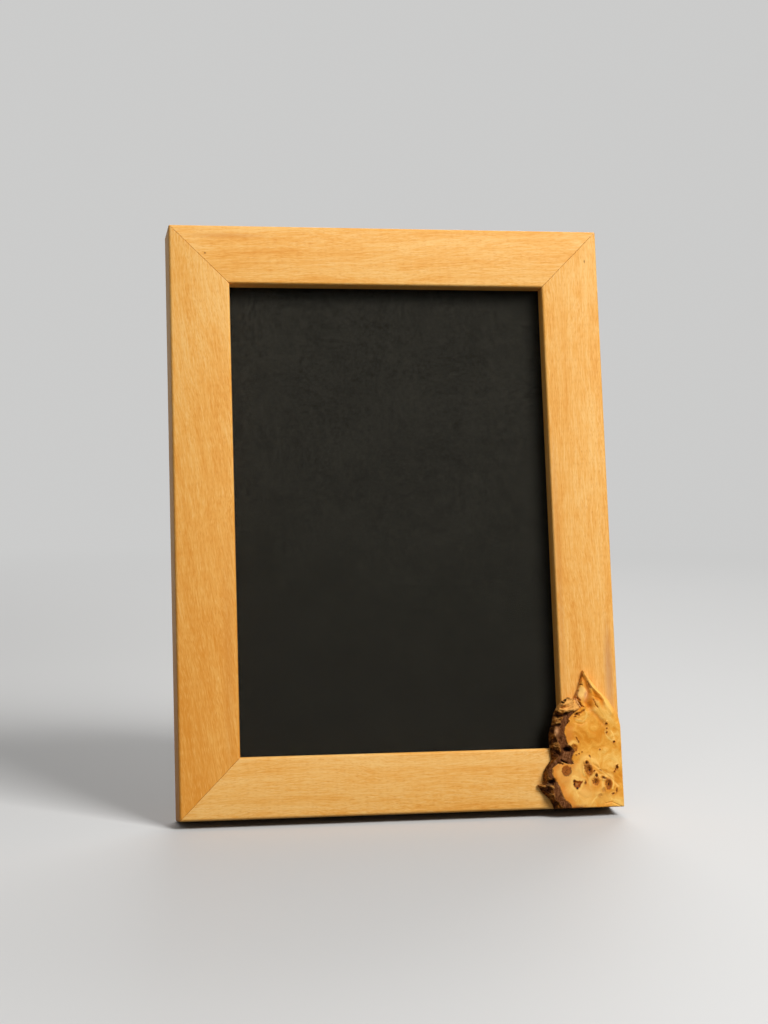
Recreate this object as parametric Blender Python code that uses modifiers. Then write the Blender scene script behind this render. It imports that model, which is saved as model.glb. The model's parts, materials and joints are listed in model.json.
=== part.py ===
"""A wooden picture frame with a live-edge burl corner, leaning back on a hinged strut.

Metres, +Z up. The front looks towards -Y and the frame leans back towards +Y. The frame's pieces are
modelled upright in the frame's own space, x across, y from the front face to the back and z up from the
bottom edge, and they lean with the empty that carries them.
"""

import math

import bmesh
import bpy
from mathutils import Matrix, Vector

# Print and rebate
PRINT_WIDTH = 0.148
PRINT_HEIGHT = 0.210
PRINT_PLAY = 0.0005
LIP_WIDTH = 0.0075
LIP_DEPTH = 0.0065

# Rails
RAIL_WIDTH = 0.025
RAIL_DEPTH = 0.020
EDGE_ROUND = 0.0012
EDGE_STEPS = 4
REAR_CHAMFER = 0.0005

# Clearances
GAP = 0.0003
FIT = 0.0001
RUNNING = 0.00009
KNUCKLE_CLEARANCE = 0.0008
OVERCUT = 0.001

# Panels in the rebate, front to back
GLASS_THICKNESS = 0.002
CARD_THICKNESS = 0.0005
BACKING_THICKNESS = 0.005

# Corner nails
NAIL_SHEET = 0.0006
NAIL_LEG = 0.0045
NAIL_LENGTH = 0.010
NAIL_EDGE = 0.004
NAIL_MARGIN = 0.0025

# Turn buttons and their screws
BUTTON_THICKNESS = 0.001
BUTTON_LIFT = 0.00015
BUTTON_TAIL_RADIUS = 0.0045
BUTTON_TIP_RADIUS = 0.0032
BUTTON_REACH = 0.016
BUTTON_BITE = 0.0075
STILE_BUTTON_OFFSET = 0.062
BUTTON_TO_LEG = 0.007
SCREW_RADIUS = 0.0014
SCREW_LENGTH = 0.0125
SCREW_TIP = 0.003
SCREW_HEAD_RADIUS = 0.0029
SCREW_HEAD_HEIGHT = 0.0017

# Strut and its hinge
LEAN = math.radians(10.53)
STRUT_OPENING = math.radians(21.0)
HINGE_HEIGHT = 0.165
LEAF_THICKNESS = 0.001
LEAF_WIDTH = 0.030
LEAF_LENGTH = 0.019
KNUCKLE_LENGTH = 0.010
PIN_RADIUS = 0.00125
KNUCKLE_WALL = 0.00106
PIN_HEAD_RADIUS = 0.0021
PIN_HEAD_HEIGHT = 0.0008
LUG_WIDTH = 0.008
LUG_LENGTH = 0.007
LUG_THICKNESS = 0.0012
STOP_GAP = 0.00005
LEG_THICKNESS = 0.005
LEG_TOP_WIDTH = 0.030
LEG_FOOT_WIDTH = 0.050
LEG_EASE = 0.0007
RIVET_RADIUS = 0.00125
RIVET_HEAD_RADIUS = 0.0023
RIVET_HEAD_HEIGHT = 0.0008
RIVET_TAIL_HEIGHT = 0.0007
RIVET_SPACING = 0.016
RIVET_SETBACK = 0.012

# Burl slab on the lower right corner. Its outline is measured from that corner: left, then up.
BURL_EDGE_THICKNESS = 0.0024
BURL_BARK_THICKNESS = 0.0052
BURL_SIDE_INSET = 0.0003
BURL_OUTLINE = (
    (0.0000, 0.0000),
    (0.0295, 0.0000),
    (0.0316, 0.0041),
    (0.0345, 0.0068),
    (0.0366, 0.0101),
    (0.0338, 0.0106),
    (0.0340, 0.0136),
    (0.0332, 0.0161),
    (0.0318, 0.0182),
    (0.0300, 0.0204),
    (0.0308, 0.0266),
    (0.0307, 0.0310),
    (0.0293, 0.0348),
    (0.0285, 0.0389),
    (0.0272, 0.0414),
    (0.0247, 0.0442),
    (0.0220, 0.0458),
    (0.0193, 0.0448),
    (0.0184, 0.0473),
    (0.0169, 0.0504),
    (0.0158, 0.0543),
    (0.0150, 0.0570),
    (0.0126, 0.0536),
    (0.0084, 0.0484),
    (0.0047, 0.0444),
    (0.0008, 0.0381),
    (0.0000, 0.0354),
)

ROUND_STEPS = 24
FACING_BACK = (-math.pi / 2, 0, 0)

# What follows from the sizes above
REBATE_WIDTH = PRINT_WIDTH + 2 * PRINT_PLAY
REBATE_HEIGHT = PRINT_HEIGHT + 2 * PRINT_PLAY
WALL_WIDTH = RAIL_WIDTH - LIP_WIDTH
FRAME_WIDTH = REBATE_WIDTH + 2 * WALL_WIDTH
FRAME_HEIGHT = REBATE_HEIGHT + 2 * WALL_WIDTH
GLASS_FRONT = LIP_DEPTH + GAP
CARD_FRONT = GLASS_FRONT + GLASS_THICKNESS + GAP
FILLER_FRONT = CARD_FRONT + CARD_THICKNESS + GAP
BACKING_FRONT = RAIL_DEPTH - BACKING_THICKNESS
FILLER_BACK = BACKING_FRONT - GAP
NAIL_SETBACKS = {"outer": NAIL_EDGE, "inner": WALL_WIDTH - NAIL_LEG - NAIL_MARGIN}
BUTTON_FRONT = RAIL_DEPTH + BUTTON_LIFT
BUTTON_BACK = BUTTON_FRONT + BUTTON_THICKNESS
BUTTON_PIVOT = WALL_WIDTH - BUTTON_REACH + BUTTON_BITE
RAIL_BUTTON_OFFSET = LEG_FOOT_WIDTH / 2 + BUTTON_REACH + BUTTON_TO_LEG
BORE_RADIUS = PIN_RADIUS + RUNNING
KNUCKLE_RADIUS = BORE_RADIUS + KNUCKLE_WALL
NOTCH_RADIUS = KNUCKLE_RADIUS + KNUCKLE_CLEARANCE
LEAF_FRONT = RAIL_DEPTH + FIT
PIN_DEPTH = LEAF_FRONT + KNUCKLE_RADIUS
LEG_FRONT = -KNUCKLE_RADIUS + LEAF_THICKNESS + FIT


def clear_scene():
    """Removes whatever the scene holds."""
    for obj in list(bpy.data.objects):
        bpy.data.objects.remove(obj, do_unlink=True)


def new_collection(name):
    """A collection linked to the scene."""
    collection = bpy.data.collections.new(name)
    bpy.context.scene.collection.children.link(collection)
    return collection


def new_material(name, colour, roughness, metallic=0.0):
    """A Principled material."""
    material = bpy.data.materials.new(name)
    material.use_nodes = True
    shader = material.node_tree.nodes["Principled BSDF"]
    shader.inputs["Base Color"].default_value = (*colour, 1.0)
    shader.inputs["Roughness"].default_value = roughness
    shader.inputs["Metallic"].default_value = metallic
    return material


def new_empty(name, collection, parent=None, location=(0, 0, 0), rotation=(0, 0, 0)):
    """An empty that carries other objects."""
    empty = bpy.data.objects.new(name, None)
    empty.parent = parent
    empty.location = location
    empty.rotation_euler = rotation
    collection.objects.link(empty)
    return empty


def add_piece(name, mesh, collection, parent, material, location=(0, 0, 0), rotation=(0, 0, 0)):
    """A visible piece of the frame."""
    piece = bpy.data.objects.new(name, mesh)
    piece.parent = parent
    piece.location = location
    piece.rotation_euler = rotation
    mesh.materials.clear()
    mesh.materials.append(material)
    collection.objects.link(piece)
    return piece


def add_cutter(name, mesh, collection, parent, location=(0, 0, 0), rotation=(0, 0, 0)):
    """A helper that cuts other pieces and stays out of the render."""
    cutter = bpy.data.objects.new(name, mesh)
    cutter.parent = parent
    cutter.location = location
    cutter.rotation_euler = rotation
    cutter.hide_render = True
    cutter.display_type = "WIRE"
    collection.objects.link(cutter)
    return cutter


def combine(piece, other, operation="DIFFERENCE"):
    """A Boolean of a piece with another object."""
    modifier = piece.modifiers.new(other.name, "BOOLEAN")
    modifier.operation = operation
    modifier.solver = "EXACT"
    modifier.object = other


def mesh_from(bm, name):
    """The finished mesh of a bmesh, smooth on its round stretches."""
    mesh = bpy.data.meshes.new(name)
    bm.to_mesh(mesh)
    bm.free()
    mesh.shade_smooth()
    mesh.set_sharp_from_angle(angle=math.radians(30))
    return mesh


def box_bmesh(low, high):
    """A box between two corners."""
    low, high = Vector(low), Vector(high)
    bm = bmesh.new()
    place = Matrix.Translation((low + high) / 2)
    bmesh.ops.create_cube(bm, size=1.0, matrix=place @ Matrix.Diagonal((*(high - low), 1.0)))
    return bm


def box_mesh(name, low, high):
    """A plain box."""
    return mesh_from(box_bmesh(low, high), name)


def arc(centre, radius, start, end, steps):
    """Points on an arc, its angles in degrees."""
    angles = [math.radians(start + (end - start) * i / steps) for i in range(steps + 1)]
    return [(centre[0] + radius * math.cos(a), centre[1] + radius * math.sin(a)) for a in angles]


def circle(centre, radius, steps=ROUND_STEPS):
    """Points round a full circle."""
    return arc(centre, radius, 0, 360, steps)[:-1]


def outline_mesh(name, loops, low, high, plane="XZ"):
    """A plate with the given outlines, the first outside and the others holes, from low to high.

    In plane XZ the thickness runs along y, and in plane YZ along x.
    """
    curve = bpy.data.curves.new(name, "CURVE")
    curve.dimensions = "2D"
    curve.fill_mode = "BOTH"
    curve.extrude = (high - low) / 2
    for points in loops:
        spline = curve.splines.new("POLY")
        spline.points.add(len(points) - 1)
        for point, (across, up) in zip(spline.points, points):
            point.co = (across, up, 0.0, 1.0)
        spline.use_cyclic_u = True
    guide = bpy.data.objects.new(name, curve)
    bpy.context.scene.collection.objects.link(guide)
    graph = bpy.context.evaluated_depsgraph_get()
    flat = bpy.data.meshes.new_from_object(guide.evaluated_get(graph))
    bpy.data.objects.remove(guide, do_unlink=True)
    middle = (low + high) / 2
    if plane == "XZ":
        place = Matrix.Translation((0, middle, 0)) @ Matrix.Rotation(math.pi / 2, 4, "X")
    else:
        turn = Matrix.Rotation(math.pi / 2, 4, "Z") @ Matrix.Rotation(math.pi / 2, 4, "X")
        place = Matrix.Translation((middle, 0, 0)) @ turn
    bm = bmesh.new()
    bm.from_mesh(flat)
    bmesh.ops.remove_doubles(bm, verts=bm.verts, dist=1e-7)
    bmesh.ops.transform(bm, matrix=place, verts=bm.verts)
    bmesh.ops.recalc_face_normals(bm, faces=bm.faces)
    bpy.data.meshes.remove(flat)
    return mesh_from(bm, name)


def turned_mesh(name, profile):
    """The profile, radius and height pairs from top to bottom, as a chain of edges for a Screw."""
    bm = bmesh.new()
    chain = [bm.verts.new((radius, 0.0, height)) for radius, height in profile]
    for upper, lower in zip(chain, chain[1:]):
        bm.edges.new((upper, lower))
    return mesh_from(bm, name)


def turn(piece):
    """Spins a profile round its own z axis into a solid."""
    modifier = piece.modifiers.new("turned", "SCREW")
    modifier.axis = "Z"
    modifier.angle = 2 * math.pi
    modifier.steps = ROUND_STEPS
    modifier.render_steps = ROUND_STEPS
    modifier.use_merge_vertices = True
    modifier.merge_threshold = 0.00001
    modifier.use_smooth_shade = True


def dome(radius, height, base, steps=4):
    """The profile of a low dome, from its top on the axis to its rim."""
    points = []
    for i in range(steps + 1):
        angle = math.pi / 2 * i / steps
        points.append((radius * math.sin(angle), base + height * math.cos(angle)))
    return points


def rail_mesh(name, length):
    """A mitred rail along x, its outer edge at z = 0 and its front at y = 0."""
    bm = box_bmesh((-length / 2, 0, 0), (length / 2, RAIL_DEPTH, RAIL_WIDTH))

    def long_edges(depth, heights):
        found = []
        for edge in bm.edges:
            a, b = (v.co for v in edge.verts)
            along = abs(a.x - b.x) > length / 2
            if along and abs(a.y - depth) < 1e-6 and min(abs(a.z - h) for h in heights) < 1e-6:
                found.append(edge)
        return found

    front = long_edges(0, (0, RAIL_WIDTH))
    bmesh.ops.bevel(
        bm, geom=front, offset=EDGE_ROUND, segments=EDGE_STEPS, profile=0.5, affect="EDGES"
    )
    rear = long_edges(RAIL_DEPTH, (0,))
    bmesh.ops.bevel(bm, geom=rear, offset=REAR_CHAMFER, segments=1, profile=0.5, affect="EDGES")
    for side in (-1, 1):
        normal = Vector((side, 0, 1)).normalized()
        point = Vector((side * length / 2, 0, 0)) - normal * GAP / 2
        geometry = bm.verts[:] + bm.edges[:] + bm.faces[:]
        bmesh.ops.bisect_plane(
            bm, geom=geometry, dist=1e-8, plane_co=point, plane_no=normal, clear_outer=True
        )
        bmesh.ops.holes_fill(bm, edges=[e for e in bm.edges if e.is_boundary])
    bmesh.ops.recalc_face_normals(bm, faces=bm.faces)
    return mesh_from(bm, name)


def nail_mesh(name, setback, grow=0.0, past=0.0):
    """A corner nail seen from a lower right corner at the origin, its two legs along the two rails."""
    half = NAIL_SHEET / 2 + grow
    tip = setback + NAIL_LEG + grow
    outline = [
        (-setback + half, setback - half),
        (-setback + half, tip),
        (-setback - half, tip),
        (-setback - half, setback + half),
        (-tip, setback + half),
        (-tip, setback - half),
    ]
    low = RAIL_DEPTH - NAIL_LENGTH - GAP - grow
    high = RAIL_DEPTH - GAP + past
    return outline_mesh(name, [outline], low, high)


def button_mesh(name):
    """A turn button round its pivot, its tongue up along z."""
    tip = (0, BUTTON_REACH - BUTTON_TIP_RADIUS)
    lean = math.degrees(math.asin((BUTTON_TAIL_RADIUS - BUTTON_TIP_RADIUS) / tip[1]))
    outer = arc((0, 0), BUTTON_TAIL_RADIUS, 180 - lean, 360 + lean, 12)
    outer += arc(tip, BUTTON_TIP_RADIUS, lean, 180 - lean, 8)
    hole = circle((0, 0), SCREW_RADIUS + RUNNING)
    return outline_mesh(name, [outer, hole], BUTTON_FRONT, BUTTON_BACK)


def screw_mesh(name):
    """A pan head wood screw, its head's underside at z = 0 and its tip below."""
    profile = dome(SCREW_HEAD_RADIUS, SCREW_HEAD_HEIGHT, 0)
    profile += [(SCREW_RADIUS, 0), (SCREW_RADIUS, SCREW_TIP - SCREW_LENGTH), (0, -SCREW_LENGTH)]
    return turned_mesh(name, profile)


def leaf_outline(side, length):
    """The section of a hinge leaf round its pin, in y and z, its plate up for side 1, down for -1."""
    back = -KNUCKLE_RADIUS
    face = back + LEAF_THICKNESS
    covered = math.degrees(math.acos(-face / KNUCKLE_RADIUS))
    points = [(back, side * length)]
    points += arc((0, 0), KNUCKLE_RADIUS, 180, 180 + side * (360 - covered), 20)
    points += [(face, side * length)]
    return points


def build_rails(parts, cutters, lean, wood):
    """The four mitred rails, by name."""
    wall = WALL_WIDTH
    rebate = box_mesh(
        "rebate_cutter",
        (-REBATE_WIDTH / 2, LIP_DEPTH, wall),
        (REBATE_WIDTH / 2, RAIL_DEPTH + OVERCUT, FRAME_HEIGHT - wall),
    )
    rebate_cutter = add_cutter("rebate_cutter", rebate, cutters, lean)
    half_width, half_height = FRAME_WIDTH / 2, FRAME_HEIGHT / 2
    layout = {
        "bottom_rail": (FRAME_WIDTH, (0, 0, 0), 0),
        "top_rail": (FRAME_WIDTH, (0, 0, FRAME_HEIGHT), 180),
        "left_stile": (FRAME_HEIGHT, (-half_width, 0, half_height), 90),
        "right_stile": (FRAME_HEIGHT, (half_width, 0, half_height), -90),
    }
    rails = {}
    for name, (length, place, degrees) in layout.items():
        mesh = rail_mesh(name, length)
        spin = (0, math.radians(degrees), 0)
        rails[name] = add_piece(name, mesh, parts, lean, wood, place, spin)
        combine(rails[name], rebate_cutter)
    return rails


def build_corner_nails(parts, cutters, lean, rails, steel):
    """Two nails across each mitre, sunk in pockets from behind."""
    right, top = FRAME_WIDTH / 2, FRAME_HEIGHT
    corners = {
        "bottom_right": ((right, 0, 0), 0, ("bottom_rail", "right_stile")),
        "top_right": ((right, 0, top), -90, ("top_rail", "right_stile")),
        "top_left": ((-right, 0, top), 180, ("top_rail", "left_stile")),
        "bottom_left": ((-right, 0, 0), 90, ("bottom_rail", "left_stile")),
    }
    for corner, (place, degrees, joined) in corners.items():
        spin = (0, math.radians(degrees), 0)
        for row, setback in NAIL_SETBACKS.items():
            name = f"corner_nail_{corner}_{row}"
            add_piece(name, nail_mesh(name, setback), parts, lean, steel, place, spin)
            pocket = nail_mesh(f"{name}_pocket", setback, grow=2 * FIT, past=OVERCUT)
            cutter = add_cutter(f"{name}_pocket", pocket, cutters, lean, place, spin)
            for rail in joined:
                combine(rails[rail], cutter)


def build_turn_buttons(parts, cutters, rails, steel):
    """Two turn buttons on each rail, and the screws that they turn on."""
    ends = {
        "bottom_rail": ("bottom_left", "bottom_right", RAIL_BUTTON_OFFSET),
        "top_rail": ("top_right", "top_left", RAIL_BUTTON_OFFSET),
        "left_stile": ("left_upper", "left_lower", STILE_BUTTON_OFFSET),
        "right_stile": ("right_lower", "right_upper", STILE_BUTTON_OFFSET),
    }
    depth = SCREW_LENGTH - BUTTON_THICKNESS
    hole_low = RAIL_DEPTH - depth - GAP
    for rail_name, (first, second, offset) in ends.items():
        rail = rails[rail_name]
        for place, along in ((first, -offset), (second, offset)):
            pivot = (along, 0, BUTTON_PIVOT)
            button = f"turn_button_{place}"
            add_piece(button, button_mesh(button), parts, rail, steel, pivot)
            head = (along, BUTTON_BACK + FIT, BUTTON_PIVOT)
            screw = f"button_screw_{place}"
            turn(add_piece(screw, screw_mesh(screw), parts, rail, steel, head, FACING_BACK))
            hole = outline_mesh(
                f"{screw}_hole",
                [circle((0, 0), SCREW_RADIUS + FIT)],
                hole_low,
                RAIL_DEPTH + OVERCUT,
            )
            combine(rail, add_cutter(f"{screw}_hole", hole, cutters, rail, pivot))


def panel_mesh(name, front, back):
    """A panel of the print's size between two depths."""
    low = WALL_WIDTH + PRINT_PLAY
    return box_mesh(
        name, (-PRINT_WIDTH / 2, front, low), (PRINT_WIDTH / 2, back, low + PRINT_HEIGHT)
    )


def build_panels(parts, lean, glass, card, filler, board):
    """The panels in the rebate, from the glass to the backing board, which is returned."""
    stack = (
        ("glass_pane", GLASS_FRONT, GLASS_FRONT + GLASS_THICKNESS, glass),
        ("print_card", CARD_FRONT, CARD_FRONT + CARD_THICKNESS, card),
        ("filler_board", FILLER_FRONT, FILLER_BACK, filler),
        ("backing_board", BACKING_FRONT, RAIL_DEPTH, board),
    )
    made = {}
    for name, front, back, material in stack:
        made[name] = add_piece(name, panel_mesh(name, front, back), parts, lean, material)
    return made["backing_board"]


def build_burl(parts, cutters, lean, wood):
    """The burl slab on the front of the lower right corner, thickest along its bark."""
    right = FRAME_WIDTH / 2 - BURL_SIDE_INSET
    outline = [(right - left, up + BURL_SIDE_INSET) for left, up in BURL_OUTLINE]
    back = -GAP
    mesh = outline_mesh("burl_corner", [outline], back - BURL_BARK_THICKNESS, back)
    burl = add_piece("burl_corner", mesh, parts, lean, wood)
    reach = max(left for left, _ in BURL_OUTLINE)
    rise = math.atan((BURL_BARK_THICKNESS - BURL_EDGE_THICKNESS) / reach)
    height = max(up for _, up in BURL_OUTLINE)
    plane = box_mesh(
        "burl_face_cutter",
        (-2 * reach, -2 * BURL_BARK_THICKNESS, -OVERCUT),
        (reach, 0, height + 2 * OVERCUT),
    )
    place = (right, back - BURL_EDGE_THICKNESS, 0)
    combine(burl, add_cutter("burl_face_cutter", plane, cutters, lean, place, (0, 0, rise)))


def build_leaf(name, parts, cutters, parent, steel, side):
    """A hinge leaf round its pin, with two outer knuckles for side 1 and the middle one for side -1."""
    half, middle = LEAF_WIDTH / 2, KNUCKLE_LENGTH / 2
    hole = circle((0, 0), BORE_RADIUS)
    mesh = outline_mesh(name, [leaf_outline(side, LEAF_LENGTH), hole], -half, half, "YZ")
    leaf = add_piece(name, mesh, parts, parent, steel)
    if side > 0:
        spans = ((-middle - GAP, middle + GAP),)
    else:
        spans = ((-half - OVERCUT, -middle), (middle, half + OVERCUT))
    for number, (low, high) in enumerate(spans):
        notch = box_mesh(
            f"{name}_notch",
            (low, -2 * KNUCKLE_RADIUS, -NOTCH_RADIUS),
            (high, 2 * KNUCKLE_RADIUS, NOTCH_RADIUS),
        )
        combine(leaf, add_cutter(f"{name}_notch_{number}", notch, cutters, parent))
    return leaf


def build_hinge(parts, cutters, fixed, moving, steel):
    """The two leaves, the pin, and the lug that stops the moving leaf when the strut is open."""
    fixed_leaf = build_leaf("hinge_leaf_fixed", parts, cutters, fixed, steel, 1)
    moving_leaf = build_leaf("hinge_leaf_moving", parts, cutters, moving, steel, -1)
    lug_front = -KNUCKLE_RADIUS + LEAF_THICKNESS + STOP_GAP
    lug_low = (KNUCKLE_RADIUS + BORE_RADIUS) / 2
    lug = box_mesh(
        "stop_lug",
        (-LUG_WIDTH / 2, lug_front, lug_low),
        (LUG_WIDTH / 2, lug_front + LUG_THICKNESS, LUG_LENGTH),
    )
    combine(moving_leaf, add_cutter("stop_lug", lug, cutters, fixed), "UNION")
    end = LEAF_WIDTH / 2 + FIT
    head = dome(PIN_HEAD_RADIUS, PIN_HEAD_HEIGHT, end)
    tail = [(radius, -height) for radius, height in reversed(head)]
    profile = head + [(PIN_RADIUS, end), (PIN_RADIUS, -end)] + tail
    pin = add_piece(
        "hinge_pin",
        turned_mesh("hinge_pin", profile),
        parts,
        fixed,
        steel,
        rotation=(0, math.pi / 2, 0),
    )
    turn(pin)
    return fixed_leaf, moving_leaf


def build_leg(parts, cutters, stand, moving, wood):
    """The leg below the hinge, wider at its foot, which is cut level with the floor."""
    top = -NOTCH_RADIUS
    uncut = -HINGE_HEIGHT - LEG_FOOT_WIDTH / 2
    flare = (LEG_FOOT_WIDTH - LEG_TOP_WIDTH) / 2 / (HINGE_HEIGHT + top)
    half_top = LEG_TOP_WIDTH / 2
    half_low = half_top + flare * (top - uncut)
    sides = [(-half_top, top), (half_top, top), (half_low, uncut), (-half_low, uncut)]
    mesh = outline_mesh("strut_leg", [sides], LEG_FRONT, LEG_FRONT + LEG_THICKNESS)
    leg = add_piece("strut_leg", mesh, parts, moving, wood)
    ease = leg.modifiers.new("eased edges", "BEVEL")
    ease.width = LEG_EASE
    ease.segments = 2
    floor = box_mesh("floor_cutter", (-FRAME_WIDTH, -HINGE_HEIGHT, uncut), (FRAME_WIDTH, HINGE_HEIGHT, 0))
    combine(leg, add_cutter("floor_cutter", floor, cutters, stand))
    return leg


def build_leaf_rivets(parts, cutters, lean, backing, leaf, steel):
    """The rivets that hold the fixed leaf, their tails sunk in the inner face of the backing board."""
    up = HINGE_HEIGHT + RIVET_SETBACK
    inner = BACKING_FRONT + RIVET_TAIL_HEIGHT + FIT
    outer = LEAF_FRONT + LEAF_THICKNESS + FIT
    shank = outer - inner
    profile = dome(RIVET_HEAD_RADIUS, RIVET_HEAD_HEIGHT, 0)
    profile += [(RIVET_RADIUS, 0), (RIVET_RADIUS, -shank), (RIVET_HEAD_RADIUS, -shank)]
    profile += [(RIVET_HEAD_RADIUS, -shank - RIVET_TAIL_HEIGHT), (0, -shank - RIVET_TAIL_HEIGHT)]
    for label, across in (("left", -RIVET_SPACING / 2), ("right", RIVET_SPACING / 2)):
        name = f"leaf_rivet_{label}"
        place = (across, outer, up)
        rivet = add_piece(name, turned_mesh(name, profile), parts, lean, steel, place, FACING_BACK)
        turn(rivet)
        loop = circle((across, up), RIVET_RADIUS + FIT)
        bore = outline_mesh(f"{name}_bore", [loop], BACKING_FRONT - OVERCUT, outer + OVERCUT)
        bore_cutter = add_cutter(f"{name}_bore", bore, cutters, lean)
        combine(backing, bore_cutter)
        combine(leaf, bore_cutter)
        loop = circle((across, up), RIVET_HEAD_RADIUS + FIT)
        sink = outline_mesh(f"{name}_sink", [loop], BACKING_FRONT - OVERCUT, inner + FIT)
        combine(backing, add_cutter(f"{name}_sink", sink, cutters, lean))


def build_leg_rivets(parts, cutters, moving, leg, leaf, steel):
    """The rivets that hold the leg on its leaf, their tails countersunk in the leaf."""
    down = -RIVET_SETBACK
    leaf_face = -KNUCKLE_RADIUS
    leg_back = LEG_FRONT + LEG_THICKNESS
    head_base = leg_back + FIT
    length = head_base - leaf_face
    sunk = LEAF_THICKNESS - FIT
    profile = dome(RIVET_HEAD_RADIUS, RIVET_HEAD_HEIGHT, 0)
    profile += [(RIVET_RADIUS, 0), (RIVET_RADIUS, sunk - length)]
    profile += [(RIVET_HEAD_RADIUS, -length), (0, -length)]
    cone = [(0, sunk + FIT), (RIVET_RADIUS + FIT, sunk + FIT), (RIVET_HEAD_RADIUS + 2 * FIT, 0)]
    cone += [(RIVET_HEAD_RADIUS + 2 * FIT, -OVERCUT), (0, -OVERCUT)]
    for label, across in (("left", -RIVET_SPACING / 2), ("right", RIVET_SPACING / 2)):
        name = f"leg_rivet_{label}"
        place = (across, head_base, down)
        rivet = add_piece(name, turned_mesh(name, profile), parts, moving, steel, place, FACING_BACK)
        turn(rivet)
        loop = circle((across, down), RIVET_RADIUS + FIT)
        bore = outline_mesh(f"{name}_bore", [loop], leaf_face - OVERCUT, leg_back + OVERCUT)
        bore_cutter = add_cutter(f"{name}_bore", bore, cutters, moving)
        combine(leg, bore_cutter)
        combine(leaf, bore_cutter)
        place = (across, leaf_face, down)
        sink = add_cutter(
            f"{name}_sink", turned_mesh(f"{name}_sink", cone), cutters, moving, place, FACING_BACK
        )
        turn(sink)
        combine(leaf, sink)


def centre_on_floor(parts, stand):
    """Moves the stand so that the origin is under the middle of the whole object."""
    bpy.context.view_layer.update()
    graph = bpy.context.evaluated_depsgraph_get()
    points = []
    for piece in parts.objects:
        if piece.type == "MESH":
            evaluated = piece.evaluated_get(graph)
            points += [evaluated.matrix_world @ v.co for v in evaluated.data.vertices]
    for axis in (0, 1):
        values = [point[axis] for point in points]
        stand.location[axis] = -(min(values) + max(values)) / 2


def main():
    clear_scene()
    parts = new_collection("picture_frame")
    cutters = new_collection("cutters")
    beech = new_material("oiled beech", (0.79, 0.39, 0.10), 0.45)
    burl = new_material("burl", (0.80, 0.36, 0.06), 0.4)
    glass = new_material("glass", (0.9, 0.95, 0.95), 0.05)
    card = new_material("printed card", (0.02, 0.02, 0.018), 0.8)
    filler = new_material("foam board", (0.85, 0.85, 0.82), 0.9)
    board = new_material("hardboard", (0.20, 0.12, 0.07), 0.8)
    steel = new_material("plated steel", (0.62, 0.61, 0.58), 0.3, 1.0)

    stand = new_empty("stand", parts)
    lift = (RAIL_DEPTH - REAR_CHAMFER) * math.sin(LEAN)
    lean = new_empty("lean", parts, stand, (0, 0, lift), (-LEAN, 0, 0))
    rails = build_rails(parts, cutters, lean, beech)
    build_corner_nails(parts, cutters, lean, rails, steel)
    build_turn_buttons(parts, cutters, rails, steel)
    backing = build_panels(parts, lean, glass, card, filler, board)
    build_burl(parts, cutters, lean, burl)

    hinge_place = (0, PIN_DEPTH, HINGE_HEIGHT)
    fixed = new_empty("hinge_fixed", parts, lean, hinge_place)
    moving = new_empty("hinge_moving", parts, lean, hinge_place, (STRUT_OPENING, 0, 0))
    fixed_leaf, moving_leaf = build_hinge(parts, cutters, fixed, moving, steel)
    leg = build_leg(parts, cutters, stand, moving, beech)
    build_leaf_rivets(parts, cutters, lean, backing, fixed_leaf, steel)
    build_leg_rivets(parts, cutters, moving, leg, moving_leaf, steel)
    centre_on_floor(parts, stand)


main()
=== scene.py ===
"""The looks of a wooden picture frame with a live-edge burl slab on one corner.

Every piece is modelled upright and square in a space of its own, x across, y from the front to the back and
z up, and is then carried into the leaning frame. Lengths are in metres, or in millimetres times MM.
"""

import json
import logging
import math
from collections.abc import Callable, Sequence
from dataclasses import dataclass
from enum import Enum
from typing import ClassVar

import bmesh
import bpy
import numpy as np
from mathutils import Matrix, Vector, noise


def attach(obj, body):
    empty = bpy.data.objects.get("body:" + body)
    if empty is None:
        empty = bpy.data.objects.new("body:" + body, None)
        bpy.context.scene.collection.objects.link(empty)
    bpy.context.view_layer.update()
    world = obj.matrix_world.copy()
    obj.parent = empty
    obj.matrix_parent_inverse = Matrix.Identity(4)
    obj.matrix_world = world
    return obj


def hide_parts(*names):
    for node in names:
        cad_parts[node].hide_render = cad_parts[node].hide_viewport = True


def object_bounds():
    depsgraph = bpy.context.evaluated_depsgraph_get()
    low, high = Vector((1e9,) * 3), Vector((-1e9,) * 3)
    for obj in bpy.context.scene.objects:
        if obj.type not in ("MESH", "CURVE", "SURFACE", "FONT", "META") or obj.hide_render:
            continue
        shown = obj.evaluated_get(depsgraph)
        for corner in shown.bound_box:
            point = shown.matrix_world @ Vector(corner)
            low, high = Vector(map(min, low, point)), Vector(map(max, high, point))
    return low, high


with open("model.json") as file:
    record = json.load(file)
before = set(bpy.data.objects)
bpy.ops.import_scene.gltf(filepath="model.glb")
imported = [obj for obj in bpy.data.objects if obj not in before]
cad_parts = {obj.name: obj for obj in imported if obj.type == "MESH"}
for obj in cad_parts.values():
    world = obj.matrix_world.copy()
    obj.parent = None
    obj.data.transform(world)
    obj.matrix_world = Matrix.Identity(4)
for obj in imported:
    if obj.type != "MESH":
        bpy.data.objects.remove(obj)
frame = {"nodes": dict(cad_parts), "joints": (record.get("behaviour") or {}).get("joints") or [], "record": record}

CAD_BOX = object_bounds()
LOG = logging.getLogger("picture_frame")

MM = 0.001
GLUED = 0.02 * MM
NEAR = 0.01 * MM
ALONG = 0.99
FLAT = 0.999
WELD = 1e-6
CUT_SNAP = 1e-7
SHARP_ANGLE = math.radians(40)
SMOOTH_ANGLE = math.radians(35)
ROUND_PROFILE = 0.5

Socket = bpy.types.NodeSocket
Material = bpy.types.Material
Object = bpy.types.Object
Field = np.ndarray
Point = tuple[float, float]
Colour = tuple[float, float, float]
Span = tuple[float, float, float]


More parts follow.
